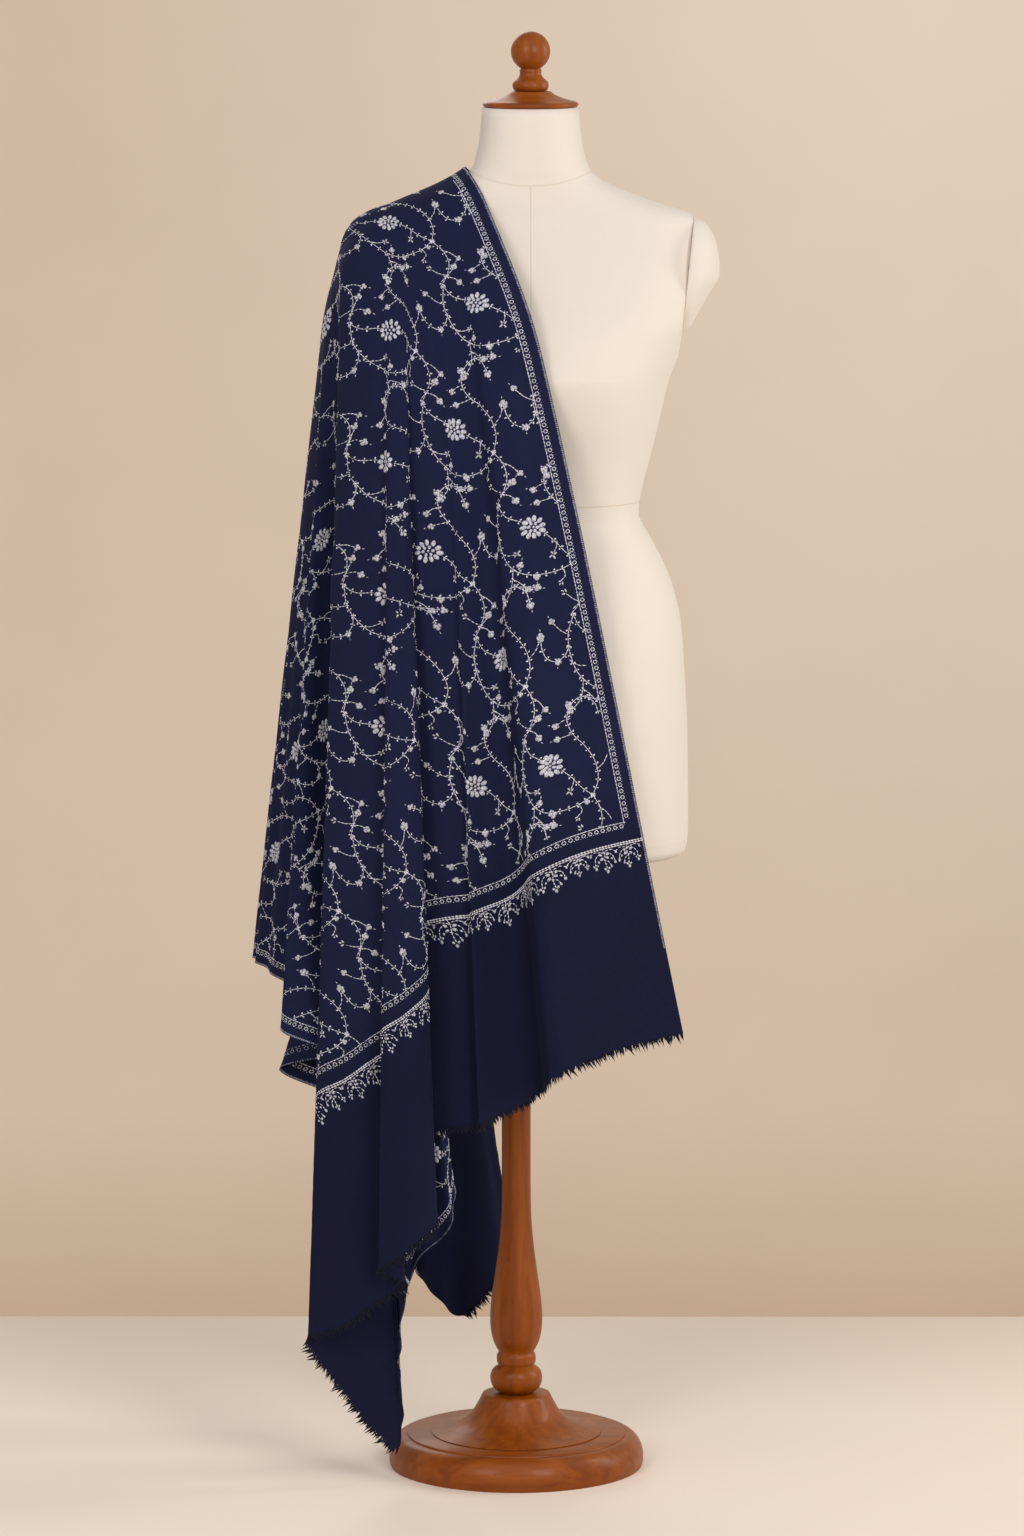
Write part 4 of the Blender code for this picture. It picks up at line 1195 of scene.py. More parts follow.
    def hang(self, form: DressForm) -> None:
        """Works out the surface over an even grid on the flat cloth.

        Args:
            form: the dress form that the cloth has to clear.
        """
        self.flat_lines = np.array([(line.start, line.across, line.along) for line in self.lines()])
        self.knots = path_length(self.flat_lines[:, 1:])
        rows = self.hung_lines(np.linspace(0, 1, self.fan_rows))
        steps = np.linspace(0, self.knots[-1], round(self.knots[-1] / self.fan_step) + 1)
        fan = np.stack([hermite(self.knots, rows[:, index], steps) for index in range(self.fan_rows)])
        self.across = np.linspace(0, self.width, round(self.width / self.cell) + 1)
        front = np.linspace(0, self.front_length, round(self.front_length / self.cell) + 1)
        back = np.linspace(-self.back_length, 0, round(self.back_length / self.cell) + 1)
        self.along = np.concatenate([back[:-1], front])
        self.ridge_row = len(back) - 1
        u, v = np.meshgrid(self.across, self.along)
        share, edge = self.fan_place(u.ravel(), v.ravel())
        points = self.read(fan, share * (self.fan_rows - 1), edge / steps[-1] * (len(steps) - 1))
        points = self.relaxed(points.reshape(*u.shape, 3), 1)
        broad = unit(self.relaxed(self.surface_normals(points), self.broad_rounds))
        points = points + broad * self.gathered(share, edge).reshape(u.shape)[..., None]
        points = self.relaxed(points, 2)
        points = points + self.surface_normals(points) * self.creased(u, v)[..., None]
        self.points = self.cleared(points, form.rounded())
        self.normals = self.surface_normals(self.points)

    def fan_place(self, u: np.ndarray, v: np.ndarray) -> tuple[np.ndarray, np.ndarray]:
        """Finds which hang line a place on the flat cloth lies on, and how far down it.

        Args:
            u: distances across the flat cloth.
            v: distances along it.

        Returns:
            The share of the hang line's length, and the line's place along the cut edge.
        """
        side, end = self.knots[np.flatnonzero(self.flat_lines[:, 2] == 0)[0]], self.knots[-1]
        low, high = np.where(v >= 0, 0.0, side), np.where(v >= 0, side, end)
        for _ in range(self.halvings):
            middle = (low + high) / 2
            start, across, along = self.flat_line(middle)
            beyond = (across - start) * v - along * (u - start) < 0
            low, high = np.where(beyond, middle, low), np.where(beyond, high, middle)
        edge = (low + high) / 2
        start, across, along = self.flat_line(edge)
        share = ((u - start) * (across - start) + v * along) / ((across - start) ** 2 + along**2)
        return np.clip(share, 0, 1), edge

    def flat_line(self, edge: np.ndarray) -> list[np.ndarray]:
        """Start, across and along of the hang line at a place on the cut edge."""
        return [np.interp(edge, self.knots, self.flat_lines[:, column]) for column in range(3)]

    def gathered(self, share: np.ndarray, edge: np.ndarray) -> np.ndarray:
        """Works out the small folds: bumps on a surface sunk between them, which fade towards the shoulder.

        Args:
            share: how far down its hang line each place lies.
            edge: that line's place along the cut edge.

        Returns:
            How far each place is lifted.
        """
        rise = np.zeros_like(edge)
        for fold in self.gathers:
            aside = (edge - fold.edge) / fold.half_width
            sunk = self.gather_inset * np.exp(-((aside / self.gather_spread) ** 2))
            rise += fold.height * (np.exp(-(aside**2)) - sunk)
        return share * rise

    def creased(self, u: np.ndarray, v: np.ndarray) -> np.ndarray:
        """Works out the creases: each a wavering ridge between two shallow valleys, which fades at both ends.

        Args:
            u: distances across the flat cloth.
            v: distances along it.

        Returns:
            How far each place is lifted.
        """
        rise = np.zeros_like(u)
        for crease in self.creases:
            top = np.array((crease.across_top, crease.along_top))
            run = np.array((crease.across_foot, crease.along_foot)) - top
            length = np.linalg.norm(run)
            run /= length
            along = ((u - top[0]) * run[0] + (v - top[1]) * run[1]) / length
            aside = ((u - top[0]) * run[1] - (v - top[1]) * run[0]) / crease.half_width
            aside -= 0.5 * np.sin(along * 5.0 + crease.along_top * 40.0)
            fade = np.sin(np.clip(along, 0, 1) * math.pi) ** 0.7
            rise += crease.height * fade * (1 - 2 * aside**2) * np.exp(-(aside**2))
        return rise

    @staticmethod
    def read(grid: np.ndarray, row: np.ndarray, column: np.ndarray) -> np.ndarray:
        """Reads values between the points of a grid.

        Args:
            grid: the values as [row, column].
            row: fractional rows.
            column: fractional columns.

        Returns:
            One value for each place.
        """
        top = np.clip(row.astype(int), 0, grid.shape[0] - 2)
        left = np.clip(column.astype(int), 0, grid.shape[1] - 2)
        down, over = (row - top)[:, None], (column - left)[:, None]
        upper = grid[top, left] * (1 - over) + grid[top, left + 1] * over
        lower = grid[top + 1, left] * (1 - over) + grid[top + 1, left + 1] * over
        return upper * (1 - down) + lower * down

    @staticmethod
    def relaxed(points: np.ndarray, rounds: int) -> np.ndarray:
        """Draws points a little towards the mean of their four neighbours, and leaves the cut edges.

        Args:
            points: the points as [row, column].
            rounds: how many times.

        Returns:
            The new points.
        """
        for _ in range(rounds):
            mean = (points[:-2, 1:-1] + points[2:, 1:-1] + points[1:-1, :-2] + points[1:-1, 2:]) / 4
            points = points.copy()
            points[1:-1, 1:-1] += 0.5 * (mean - points[1:-1, 1:-1])
        return points

    def cleared(self, points: np.ndarray, trees: tuple[BVHTree, ...]) -> np.ndarray:
        """Moves points out to at least the clearance from the form.

        Args:
            points: the points as [row, column].
            trees: search trees over the form.

        Returns:
            The new points.
        """
        flat = points.reshape(-1, 3).copy()
        for tree in trees:
            for index in np.flatnonzero(flat[:, 2] > self.form_bottom):
                place, normal, _, _ = tree.find_nearest(Vector(flat[index]), 0.05)
                if place is not None and (Vector(flat[index]) - place).dot(normal) < self.clearance:
                    flat[index] = place + normal * self.clearance
        return flat.reshape(points.shape)

    @staticmethod
    def surface_normals(points: np.ndarray) -> np.ndarray:
        """Direction away from the form at each point of the grid."""
        down, over = np.gradient(points, axis=0), np.gradient(points, axis=1)
        return unit(np.cross(over, down))

    def at(self, u: np.ndarray, v: np.ndarray, lift: np.ndarray) -> np.ndarray:
        """Finds the places in space over places on the flat cloth, or straight on past its ends.

        Args:
            u: distances across the flat cloth.
            v: distances along it.
            lift: how far off the cloth's middle, away from the form.

        Returns:
            One point for each place.
        """
        row = np.interp(v, self.along, np.arange(len(self.along)))
        column = np.clip(u / self.width, 0, 1) * (len(self.across) - 1)
        normal = unit(self.read(self.normals, row, column))
        beyond = v - np.clip(v, self.along[0], self.along[-1])
        run = np.gradient(self.points[[0, 1, 2, -3, -2, -1]], axis=0)
        ends = unit(np.stack([run[0], run[0], run[-1], run[-1]]))
        straight = self.read(ends, np.where(v > 0, 2.5, 0.5), column)
        return self.read(self.points, row, column) + normal * lift[:, None] + straight * beyond[:, None]

    def shell(self, name: str, rows: slice, material: bpy.types.Material) -> bpy.types.Object:
        """Makes a closed thin shell over some rows of the grid, with the flat cloth as its UV map.

        Args:
            name: the piece's name.
            rows: the rows of the grid that it covers.
            material: the cloth.

        Returns:
            The finished piece.
        """
        middle, normal = self.points[rows], self.normals[rows]
        height, width = middle.shape[:2]
        count = height * width
        points = np.concatenate([(middle + normal * side * self.thickness / 2).reshape(-1, 3)
                                 for side in (1, -1)])
        corner = (np.arange(height - 1)[:, None] * width + np.arange(width - 1)[None, :]).ravel()
        outer = np.stack([corner, corner + 1, corner + width + 1, corner + width], axis=1)
        rim = np.concatenate([np.arange(width), np.arange(1, height) * width + width - 1,
                              (height - 1) * width + np.arange(width - 2, -1, -1),
                              np.arange(height - 2, 0, -1) * width])
        following = np.roll(rim, -1)
        edge = np.stack([following, rim, rim + count, following + count], axis=1)
        faces = np.concatenate([outer, outer[:, ::-1] + count, edge])
        mesh = mesh_of(name, points, faces.tolist())
        u, v = np.meshgrid(self.across, self.along[rows])
        flat = np.tile(np.stack([u.ravel(), v.ravel()], axis=1), (2, 1))
        mesh.uv_layers.new(name=UV_NAME).data.foreach_set(
            "uv", flat[faces.ravel()].astype(np.float32).ravel())
        obj = new_object(name, mesh, material)
        both = np.concatenate([normal.reshape(-1, 3), -normal.reshape(-1, 3)])
        mesh.normals_split_custom_set_from_vertices(both.tolist())
        return obj

    def build(self) -> list[bpy.types.Object]:
        """Makes the shells of the front and the rear fall.

        Returns:
            The two falls.
        """
        falls = []
        for name, rows, node in (("pashmina_front_fall", slice(self.ridge_row, None), "shawl_front"),
                                 ("pashmina_rear_fall", slice(0, self.ridge_row + 1), "shawl_back")):
            falls.append(self.shell(name, rows, NavyPashmina().build()))
            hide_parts(node)
            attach(falls[-1], BODY)
        return falls


# ---- Needlework ----


class Lobe(NamedTuple):
    """One filled shape of a bud, in shares of its size: how far ahead and aside, length, width and turn."""

    ahead: float
    aside: float
    length: float
    width: float
    turn: float


class BudKind(Enum):
    """How a bud is filled: its lobes."""

    ROUND = (Lobe(-0.08, 0.24, 0.62, 0.44, 0.45), Lobe(-0.08, -0.24, 0.62, 0.44, -0.45),
             Lobe(0.24, 0.0, 0.54, 0.56, 0.0), Lobe(-0.04, 0.0, 0.44, 0.26, 0.0),
             Lobe(-0.44, 0.0, 0.28, 0.26, 0.0))
    CROSS = (Lobe(0.25, 0.22, 0.62, 0.26, 0.75), Lobe(0.25, -0.22, 0.62, 0.26, -0.75),
             Lobe(-0.25, 0.22, 0.56, 0.24, -0.75), Lobe(-0.25, -0.22, 0.56, 0.24, 0.75))
    FORK = (Lobe(0.10, 0.28, 0.60, 0.28, 0.60), Lobe(0.10, -0.28, 0.60, 0.28, -0.60),
            Lobe(0.42, 0.0, 0.50, 0.24, 0.0))


class Bud(NamedTuple):
    """A bud, in millimetres from its flower: its middle, the way it points in degrees, and its size.

    x runs towards the inner edge, y runs down, 0 degrees is x and 90 degrees is y.
    """

    x: float
    y: float
    points: float
    size: float
    kind: BudKind = BudKind.ROUND


class Petal(NamedTuple):
    """A petal: its direction in degrees, how far out its middle is, its length and width, in millimetres."""

    direction: float
    reach: float
    length: float
    width: float


class Stitch(NamedTuple):
    """A kind of stitch: its step to the next, its size, how much that varies and by which seed, and its lie.

    The size is length, width and height. It lies aside, to the left of its path, and at an angle, its lean.
    """

    step: float
    size: tuple[float, float, float]
    unevenness: float
    seed: int
    aside: float = 0.0
    lean: float = 0.0

    def on(self, side: int) -> Stitch:
        """The same stitch to the left of its path for 1 or the right for -1, varied by another seed."""
        return self._replace(seed=self.seed + side, aside=side * self.aside, lean=side * self.lean)


@dataclass
class Thread:
    """Geometry Nodes trees that sew a motif along paths or on spots of the flat cloth, and its draping."""

    cloth: DrapedCloth
    finish: Finish
    foot: float = 2.4
    crown: tuple[float, float] = (0.68, 0.82)
    crown_sides: int = 8
    sunk: float = 0.0001

    def motif(self, sides: int) -> bpy.types.Object:
        """Makes a stitch as a closed lens: an outline on the cloth, a low top, and a foot through the cloth.

        Args:
            sides: corners of its outline. With enough of them, a second ring makes its top broad and round.

        Returns:
            The lens, one unit long and wide.
        """
        name = f"lens_of_{sides}"
        known = bpy.data.objects.get(name)
        if known:
            return known
        turns = np.linspace(0, math.tau, sides, endpoint=False)
        rings = [np.stack([0.5 * np.cos(turns), 0.5 * np.sin(turns), 0 * turns], axis=1)]
        if sides >= self.crown_sides:
            rings.append(rings[0] * self.crown[0] + (0, 0, self.crown[1]))
        points = np.concatenate(rings + [[(0, 0, 1), (0, 0, -self.foot)]])
        last, top = len(points) - 2 - sides, len(points) - 2
        faces = [((i + 1) % sides, i, top + 1) for i in range(sides)]
        faces += [(last + i, last + (i + 1) % sides, top) for i in range(sides)]
        for i in range(last):
            j = (i + 1) % sides
            faces += [(i, j, last + j), (i, last + j, last + i)]
        return new_object(name, mesh_of(name, points, faces))

    @staticmethod
    def new_tree(name: str, inputs: dict[str, str]) -> tuple[bpy.types.NodeTree, Any]:
        """Makes a Geometry Nodes tree with named inputs and one output.

        Args:
            name: the tree's name.
            inputs: the kind of each input's socket, by the input's name.

        Returns:
            The tree, and the sockets that give its inputs.
        """
        tree = bpy.data.node_groups.new(name, "GeometryNodeTree")
        for label, kind in inputs.items():
            tree.interface.new_socket(label, in_out="INPUT", socket_type=f"NodeSocket{kind}")
        tree.interface.new_socket("Sewn", in_out="OUTPUT", socket_type="NodeSocketGeometry")
        return tree, add_node(tree, "NodeGroupInput").outputs

    @staticmethod
    def end_tree(tree: bpy.types.NodeTree, given: Any, points: Any, turn: Any, size: Any) -> None:
        """Puts the motif on the points, each a little different, and makes it one mesh in its finish.

        Args:
            tree: the tree to complete.
            given: the sockets that give its inputs.
            points: where the motif goes. This and the next two are a node or a socket to link from.
            turn: the angle of each one in the flat cloth.
            size: length, width and height of each one.
        """
        least = add_node(tree, "ShaderNodeMath", {0: 1.0, 1: given["Unevenness"]}, operation="SUBTRACT")
        most = add_node(tree, "ShaderNodeMath", {0: 1.0, 1: given["Unevenness"]}, operation="ADD")
        vary = add_node(tree, "FunctionNodeRandomValue", {2: least, 3: most, 8: given["Seed"]},
                        data_type="FLOAT")
        scale = add_node(tree, "ShaderNodeVectorMath", {0: size, "Scale": vary}, operation="SCALE")
        swing = add_node(tree, "ShaderNodeMath", {0: vary, 1: 1.0}, operation="SUBTRACT")
        turned = add_node(tree, "ShaderNodeMath", {0: turn, 1: swing}, operation="ADD")
        angles = add_node(tree, "ShaderNodeCombineXYZ", {2: turned})
        rotation = add_node(tree, "FunctionNodeEulerToRotation", {0: angles})
        shape = add_node(tree, "GeometryNodeObjectInfo", {"Object": given["Motif"], "As Instance": True})
        laid = add_node(tree, "GeometryNodeInstanceOnPoints", {
            "Points": points, "Instance": shape.outputs["Geometry"], "Rotation": rotation, "Scale": scale})
        real = add_node(tree, "GeometryNodeRealizeInstances", {0: laid})
        dressed = add_node(tree, "GeometryNodeSetMaterial", {"Geometry": real, "Material": given["Finish"]})
        add_node(tree, "NodeGroupOutput", {0: dressed})

    def spot_tree(self) -> bpy.types.NodeTree:
        """Makes the tree that lays the motif on single spots, which carry their own turn and size.

        Returns:
            The new tree, or the one already made.
        """
        known = bpy.data.node_groups.get("sewn_spots")
        if known:
            return known
        tree, given = self.new_tree("sewn_spots", {
            "Spots": "Geometry", "Motif": "Object", "Finish": "Material",
            "Unevenness": "Float", "Seed": "Int"})
        turn = add_node(tree, "GeometryNodeInputNamedAttribute", {"Name": "turn"}, data_type="FLOAT")
        size = add_node(tree, "GeometryNodeInputNamedAttribute", {"Name": "size"}, data_type="FLOAT_VECTOR")
        self.end_tree(tree, given, given["Spots"], turn, size)
        return tree

    def line_tree(self) -> bpy.types.NodeTree:
        """Makes the tree that lays the motif along paths, at a step, aside of the path and leaning off it.

        Returns:
            The new tree, or the one already made.
        """
        known = bpy.data.node_groups.get("sewn_lines")
        if known:
            return known
        tree, given = self.new_tree("sewn_lines", {
            "Paths": "Geometry", "Motif": "Object", "Finish": "Material", "Step": "Float", "Size": "Vector",
            "Aside": "Float", "Lean": "Float", "Unevenness": "Float", "Seed": "Int"})
        curve = add_node(tree, "GeometryNodeMeshToCurve", {0: given["Paths"]})
        even = add_node(tree, "GeometryNodeResampleCurve", {"Curve": curve, "Length": given["Step"]},
                        mode="LENGTH")
        points = add_node(tree, "GeometryNodeCurveToPoints", {"Curve": even}, mode="EVALUATED")
        run = add_node(tree, "ShaderNodeSeparateXYZ", {0: points.outputs["Tangent"]}).outputs
        back = add_node(tree, "ShaderNodeMath", {0: run["Y"], 1: -1.0}, operation="MULTIPLY")
        side = add_node(tree, "ShaderNodeCombineXYZ", {0: back, 1: run["X"]})
        offset = add_node(tree, "ShaderNodeVectorMath", {0: side, "Scale": given["Aside"]}, operation="SCALE")
        moved = add_node(tree, "GeometryNodeSetPosition", {"Geometry": points, "Offset": offset})
        angle = add_node(tree, "ShaderNodeMath", {0: run["Y"], 1: run["X"]}, operation="ARCTAN2")
        leaned = add_node(tree, "ShaderNodeMath", {0: angle, 1: given["Lean"]}, operation="ADD")
        self.end_tree(tree, given, moved, leaned, given["Size"])
        return tree

    def sewn(self, flat: bpy.types.Mesh, tree: bpy.types.NodeTree, values: dict[str, Any]) -> tuple:
        """Runs a tree on a flat mesh and gives back what it made.

        Args:
            flat: spots or paths in the flat cloth.
            tree: the tree to run.
            values: its inputs by name, apart from the finish.

        Returns:
            The flat result as points and triangles, both as arrays.
        """
        carrier = new_object(flat.name, flat)
        modifier = carrier.modifiers.new("Sewing", "NODES")
        modifier.node_group = tree
        values["Finish"] = self.finish.build()
        for item in tree.interface.items_tree:
            if item.in_out == "INPUT" and item.name in values:
                modifier[item.identifier] = values[item.name]
        made = bpy.data.meshes.new_from_object(carrier.evaluated_get(bpy.context.evaluated_depsgraph_get()))
        points = np.empty(len(made.vertices) * 3, np.float32)
        made.vertices.foreach_get("co", points)
        corners = np.empty(len(made.loops), np.int32)
        made.loops.foreach_get("vertex_index", corners)
        bpy.data.objects.remove(carrier, do_unlink=True)
        bpy.data.meshes.remove(made)
        return points.reshape(-1, 3).astype(float), corners.reshape(-1, 3)

    def spots(self, rows: np.ndarray, sides: int, seed: int, unevenness: float = 0.10) -> tuple:
        """Lays the lens on single spots.

        Args:
            rows: u, v, turn, length, width and height of each one.
            sides: corners of the lens.
            seed: of its unevenness.
            unevenness: how much its size varies.

        Returns:
            The flat stitches as points and triangles.
        """
        flat = mesh_of("spots", np.pad(rows[:, :2], ((0, 0), (0, 1))), [])
        rows = rows.astype(np.float32)
        flat.attributes.new("turn", "FLOAT", "POINT").data.foreach_set("value", rows[:, 2].copy())
        flat.attributes.new("size", "FLOAT_VECTOR", "POINT").data.foreach_set("vector", rows[:, 3:6].ravel())
        return self.sewn(flat, self.spot_tree(), {
            "Motif": self.motif(sides), "Unevenness": unevenness, "Seed": seed})

    def lines(self, paths: list[np.ndarray], stitch: Stitch, motif: bpy.types.Object | None = None) -> tuple:
        """Lays stitches along paths in the flat cloth.

        Args:
            paths: rows of (u, v) points.
            stitch: the kind of stitch.
            motif: what is laid, if not the plain lens of four sides.

        Returns:
            The flat stitches as points and triangles.
        """
        places = np.concatenate([np.pad(path, ((0, 0), (0, 1))) for path in paths])
        ends = np.cumsum([len(path) for path in paths]) - 1
        firsts = np.setdiff1d(np.arange(len(places) - 1), ends)
        flat = mesh_of("paths", places, [], np.stack([firsts, firsts + 1], axis=1).tolist())
        return self.sewn(flat, self.line_tree(), {
            "Motif": motif or self.motif(4), "Step": stitch.step, "Size": stitch.size, "Aside": stitch.aside,
            "Lean": stitch.lean, "Unevenness": stitch.unevenness, "Seed": stitch.seed})

    def draped(self, name: str, made: list[tuple], side: int = 1) -> bpy.types.Object:
        """Joins flat pieces, drapes them with the cloth and makes one object of them.

        Args:
            name: the object's name.
            made: flat pieces as points and triangles.
            side: 1 for the cloth's right side, -1 for its underside.

        Returns:
            The finished piece.
        """
        starts = np.cumsum([0] + [len(points) for points, _ in made])
        flat = np.concatenate([points for points, _ in made])
        faces = np.concatenate([corners + start for (_, corners), start in zip(made, starts)])[:, ::side]
        surface = self.cloth.thickness / 2 - self.sunk
        places = self.cloth.at(flat[:, 0], flat[:, 1], side * (surface + flat[:, 2]))
        piece = new_object(name, mesh_of(name, places, faces.tolist()), self.finish.build())
        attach(piece, BODY)
        return piece


@dataclass
class Embroidery:
    """Trailing vines with flowers and buds over the field, scalloped lines round it, and sprigs below it.

    The repeat is drawn in millimetres from its flower: x towards the inner edge, y down the cloth. Its
    columns lean along the inner edge low down, and spread a little towards the outer one, as drawn by hand.
    """

    cloth: DrapedCloth
    first_flower: tuple[float, float] = (0.049, 0.1874)
    column_step: float = 0.066
    row_step: float = 0.266
    slope: float = -0.19
    columns: int = 16
    reach: tuple[float, float] = (-0.95, 1.15)
    lean: float = 0.13
    lean_below: float = 0.45
    lean_width: float = 0.17
    spread: float = 0.22
    spread_from: float = 0.165
    spread_width: float = 0.22
    flower_tilt: float = 0.35
    field_edge: float = 0.0185
    field_front: float = 0.8065
    field_back: float = -0.7665
    thick_front: float = 0.830
    thick_back: float = -0.790
    thick_half_gap: float = 0.0011
    thick_inset: float = 0.003
    scallop_step: float = 0.0072
    scallop_out: float = 0.0040
    ring_radius: float = 0.0019
    ring_stitches: int = 6
    tooth_out: float = 0.0026
    selvage_inset: float = 0.0016
    selvage_front: float = 0.958
    selvage_back: float = 0.918
    leafless_below: float = 0.021
    turned_across: float = 0.93
    turned_along: float = 0.72
    turned_reach: float = 0.15
    sprig_step: float = 0.028
    sprig_inset: float = 0.006
    sprig_drop: float = 0.002

    vine_stitch: Stitch = Stitch(0.0040, (0.0078, 0.0013, 0.0005), 0.05, 11)
    sprig_stitch: Stitch = Stitch(0.0036, (0.0056, 0.0014, 0.0005), 0.10, 12)
    leaf_stitch: Stitch = Stitch(0.0092, (0.0030, 0.0019, 0.0007), 0.18, 14, 0.0021, 0.9)
    thin_stitch: Stitch = Stitch(0.0040, (0.0070, 0.0014, 0.0005), 0.10, 15)
    thick_stitch: Stitch = Stitch(0.0034, (0.0050, 0.0023, 0.0006), 0.10, 16)
    whip_stitch: Stitch = Stitch(0.0022, (0.0036, 0.0013, 0.0006), 0.25, 31, 0.0, 0.9)
    petal_height: float = 0.0009
    lobe_height: float = 0.0008
    tip_size: tuple[float, float, float] = (0.0042, 0.0014, 0.0005)
    ring_size: tuple[float, float, float] = (0.0028, 0.0016, 0.0006)
    tooth_size: tuple[float, float, float] = (0.0018, 0.0010, 0.0004)
    sprig_bud_shape: tuple[float, float] = (0.7, 0.0006)

    vines: tuple[tuple[tuple[float, float], ...], ...] = (
        ((44, 40), (51, 54), (52, 72), (45, 87), (36, 98)),
        ((-30, -32), (-37, -10), (-36, 14), (-28, 36), (-12, 50), (8, 53), (28, 49), (44, 40)),
        ((-30, -32), (-24, -18), (-12, -9)), ((13, 9), (22, 18), (32, 30), (44, 40)),
        ((44, 40), (51, 22), (49, 2), (39, -16), (27, -30), (21, -46), (25, -62), (37, -72),
         (50, -70), (61, -67)),
        ((44, -72), (53, -64), (56, -54)), ((-37, 4), (-43, 14), (-53, 19), (-62, 14), (-66, 4), (-67, -6)),
        ((-28, -40), (-20, -46), (-13, -52)), ((-22, -44), (-15, -40), (-12, -36)),
        ((-24, 43), (-26, 56), (-30, 66), (-37, 73)), ((-25, 52), (-18, 58), (-13, 64)),
        ((24, 20), (23, 25), (21, 29)), ((51, 54), (58, 60), (62, 66)), ((22, -48), (14, -46), (11, -44)),
        ((26, -31), (17, -29), (12, -28)), ((45, 87), (38, 84), (32, 79)), ((28, 49), (31, 56), (27, 61)),
        ((-37, -10), (-45, -15), (-51, -22)), ((51, 10), (58, 4), (62, -3)),
        ((-36, 20), (-29, 25), (-22, 26)),
    )
    buds: tuple[Bud, ...] = tuple(Bud(*row) for row in (
        (66, -66, 15, 8.6), (57, -48, 80, 9.2), (24, -64, 60, 8.8), (8, -42, 200, 8.0), (9, -27, 170, 7.8),
        (-10, -55, -50, 9.0), (-11, -33, 60, 8.6), (-67, -11, -90, 9.0), (-50, 20, 100, 7.8),
        (-41, 76, 140, 9.0),
        (-10, 67, 40, 8.2), (0, 55, 90, 8.6), (-16, 39, -70, 8.2), (65, 70, 50, 7.8), (37, 47, 0, 7.0),
        (19, 33, 110, 8.4, BudKind.CROSS), (29, 76, 215, 8.0, BudKind.FORK), (26, 64, 130, 6.6, BudKind.FORK),
        (-54, -26, -120, 7.8), (64, -7, -65, 8.2, BudKind.FORK), (-18, 26, 0, 7.6, BudKind.CROSS),
    ))
    petals: tuple[Petal, ...] = tuple(Petal(*row) for row in (
        (3, 10.1, 7.9, 5.5), (35, 10.6, 8.5, 5.7), (68, 9.6, 7.5, 5.3), (100, 9.4, 7.7, 5.3),
        (133, 10.2, 8.1, 5.5), (165, 10.5, 7.7, 5.6), (197, 10.0, 8.3, 5.3), (230, 9.6, 7.7, 5.6),
        (262, 9.3, 7.5, 5.2), (295, 9.9, 8.1, 5.4), (329, 10.4, 7.7, 5.3), (18, 4.8, 5.1, 4.1),
        (80, 4.5, 4.8, 3.9), (140, 4.9, 5.2, 4.1), (200, 4.6, 4.8, 4.0), (258, 4.7, 5.0, 3.7),
        (318, 4.6, 4.8, 4.1), (0, 0.3, 3.3, 3.1),
    ))
    sprig: tuple[tuple[tuple[float, float], ...], ...] = (
        ((0, 0), (1.5, 6), (0.5, 13), (1.5, 20)), ((-1, 3), (-6, 5), (-9.5, 9), (-10, 15)),
        ((1, 4), (6, 5), (10, 9), (11, 13)), ((0.5, 12), (4, 14), (6, 18)), ((4, 2), (9, 1.5), (13, 4)),
        ((-4, 2), (-9, 1), (-13, 2.5)),
    )
    sprig_buds: tuple[Bud, ...] = tuple(Bud(*row) for row in (
        (1.5, 25.0, 90, 5.0), (-0.6, 21.8, 60, 4.0), (3.6, 21.6, 120, 4.0), (-10, 19.5, 90, 4.6),
        (-12, 16.4, 60, 3.6), (-8, 16.4, 120, 3.6), (11.4, 16.0, 80, 4.8), (6.6, 20.0, 70, 3.6),
        (14.0, 5.6, 50, 3.8), (-13.6, 4.6, 130, 3.8), (3.6, 9.4, 35, 5.2), (-2.6, 10.0, 150, 5.2),
        (4.4, 5.6, -30, 4.8), (-3.0, 5.4, 205, 4.8), (-6.2, 12.6, 100, 3.6), (8.2, 11.4, 40, 3.4),
    ))

    def laid(self, places: np.ndarray, column: int, row: int) -> np.ndarray:
        """Finds the places on the flat cloth of places in the repeat.

        Args:
            places: rows of (x, y) in millimetres from the flower.
            column: of the flower, from the inner edge.
            row: of the flower, down the cloth.

        Returns:
            Rows of (u, v) in metres.
        """
        x, y = places[:, 0], places[:, 1]
        u = self.first_flower[0] + column * self.column_step - x / 1000
        v = self.first_flower[1] + (0.5 * column + row) * self.row_step + y / 1000
        v = v + self.slope * (u - self.first_flower[0])
        inner = np.clip(1 - (u - self.first_flower[0]) / self.lean_width, 0, 1)
        lean = self.lean * np.maximum(0, v - self.lean_below) * inner
        spread = self.spread * np.clip(u - self.spread_from, 0, self.spread_width)
        return np.stack([u + lean + spread, v], axis=-1)

    def cells(self) -> list[tuple[int, int]]:
        """Lists the repeats that may touch the field.

        Returns:
            Column and row of each one.
        """
        low, high = self.reach
        rows = {column: range(math.floor(low / self.row_step - 0.5 * column),
                              math.ceil(high / self.row_step - 0.4 * column))
                for column in range(-1, self.columns)}
        return [(column, row) for column, span in rows.items() for row in span]

    def in_field(self, places: np.ndarray, margin: float = 0.0) -> np.ndarray:
        """Finds the places inside the scalloped lines.

        Args:
            places: (u, v) along the last axis.
            margin: how far inside they have to be.

        Returns:
            Whether each one is.
        """
        u, v = places[..., 0], places[..., 1]
        edge = self.field_edge + margin
        return ((u > edge) & (u < self.cloth.width - edge) & (v < self.field_front - margin)
                & (v > self.field_back + margin))

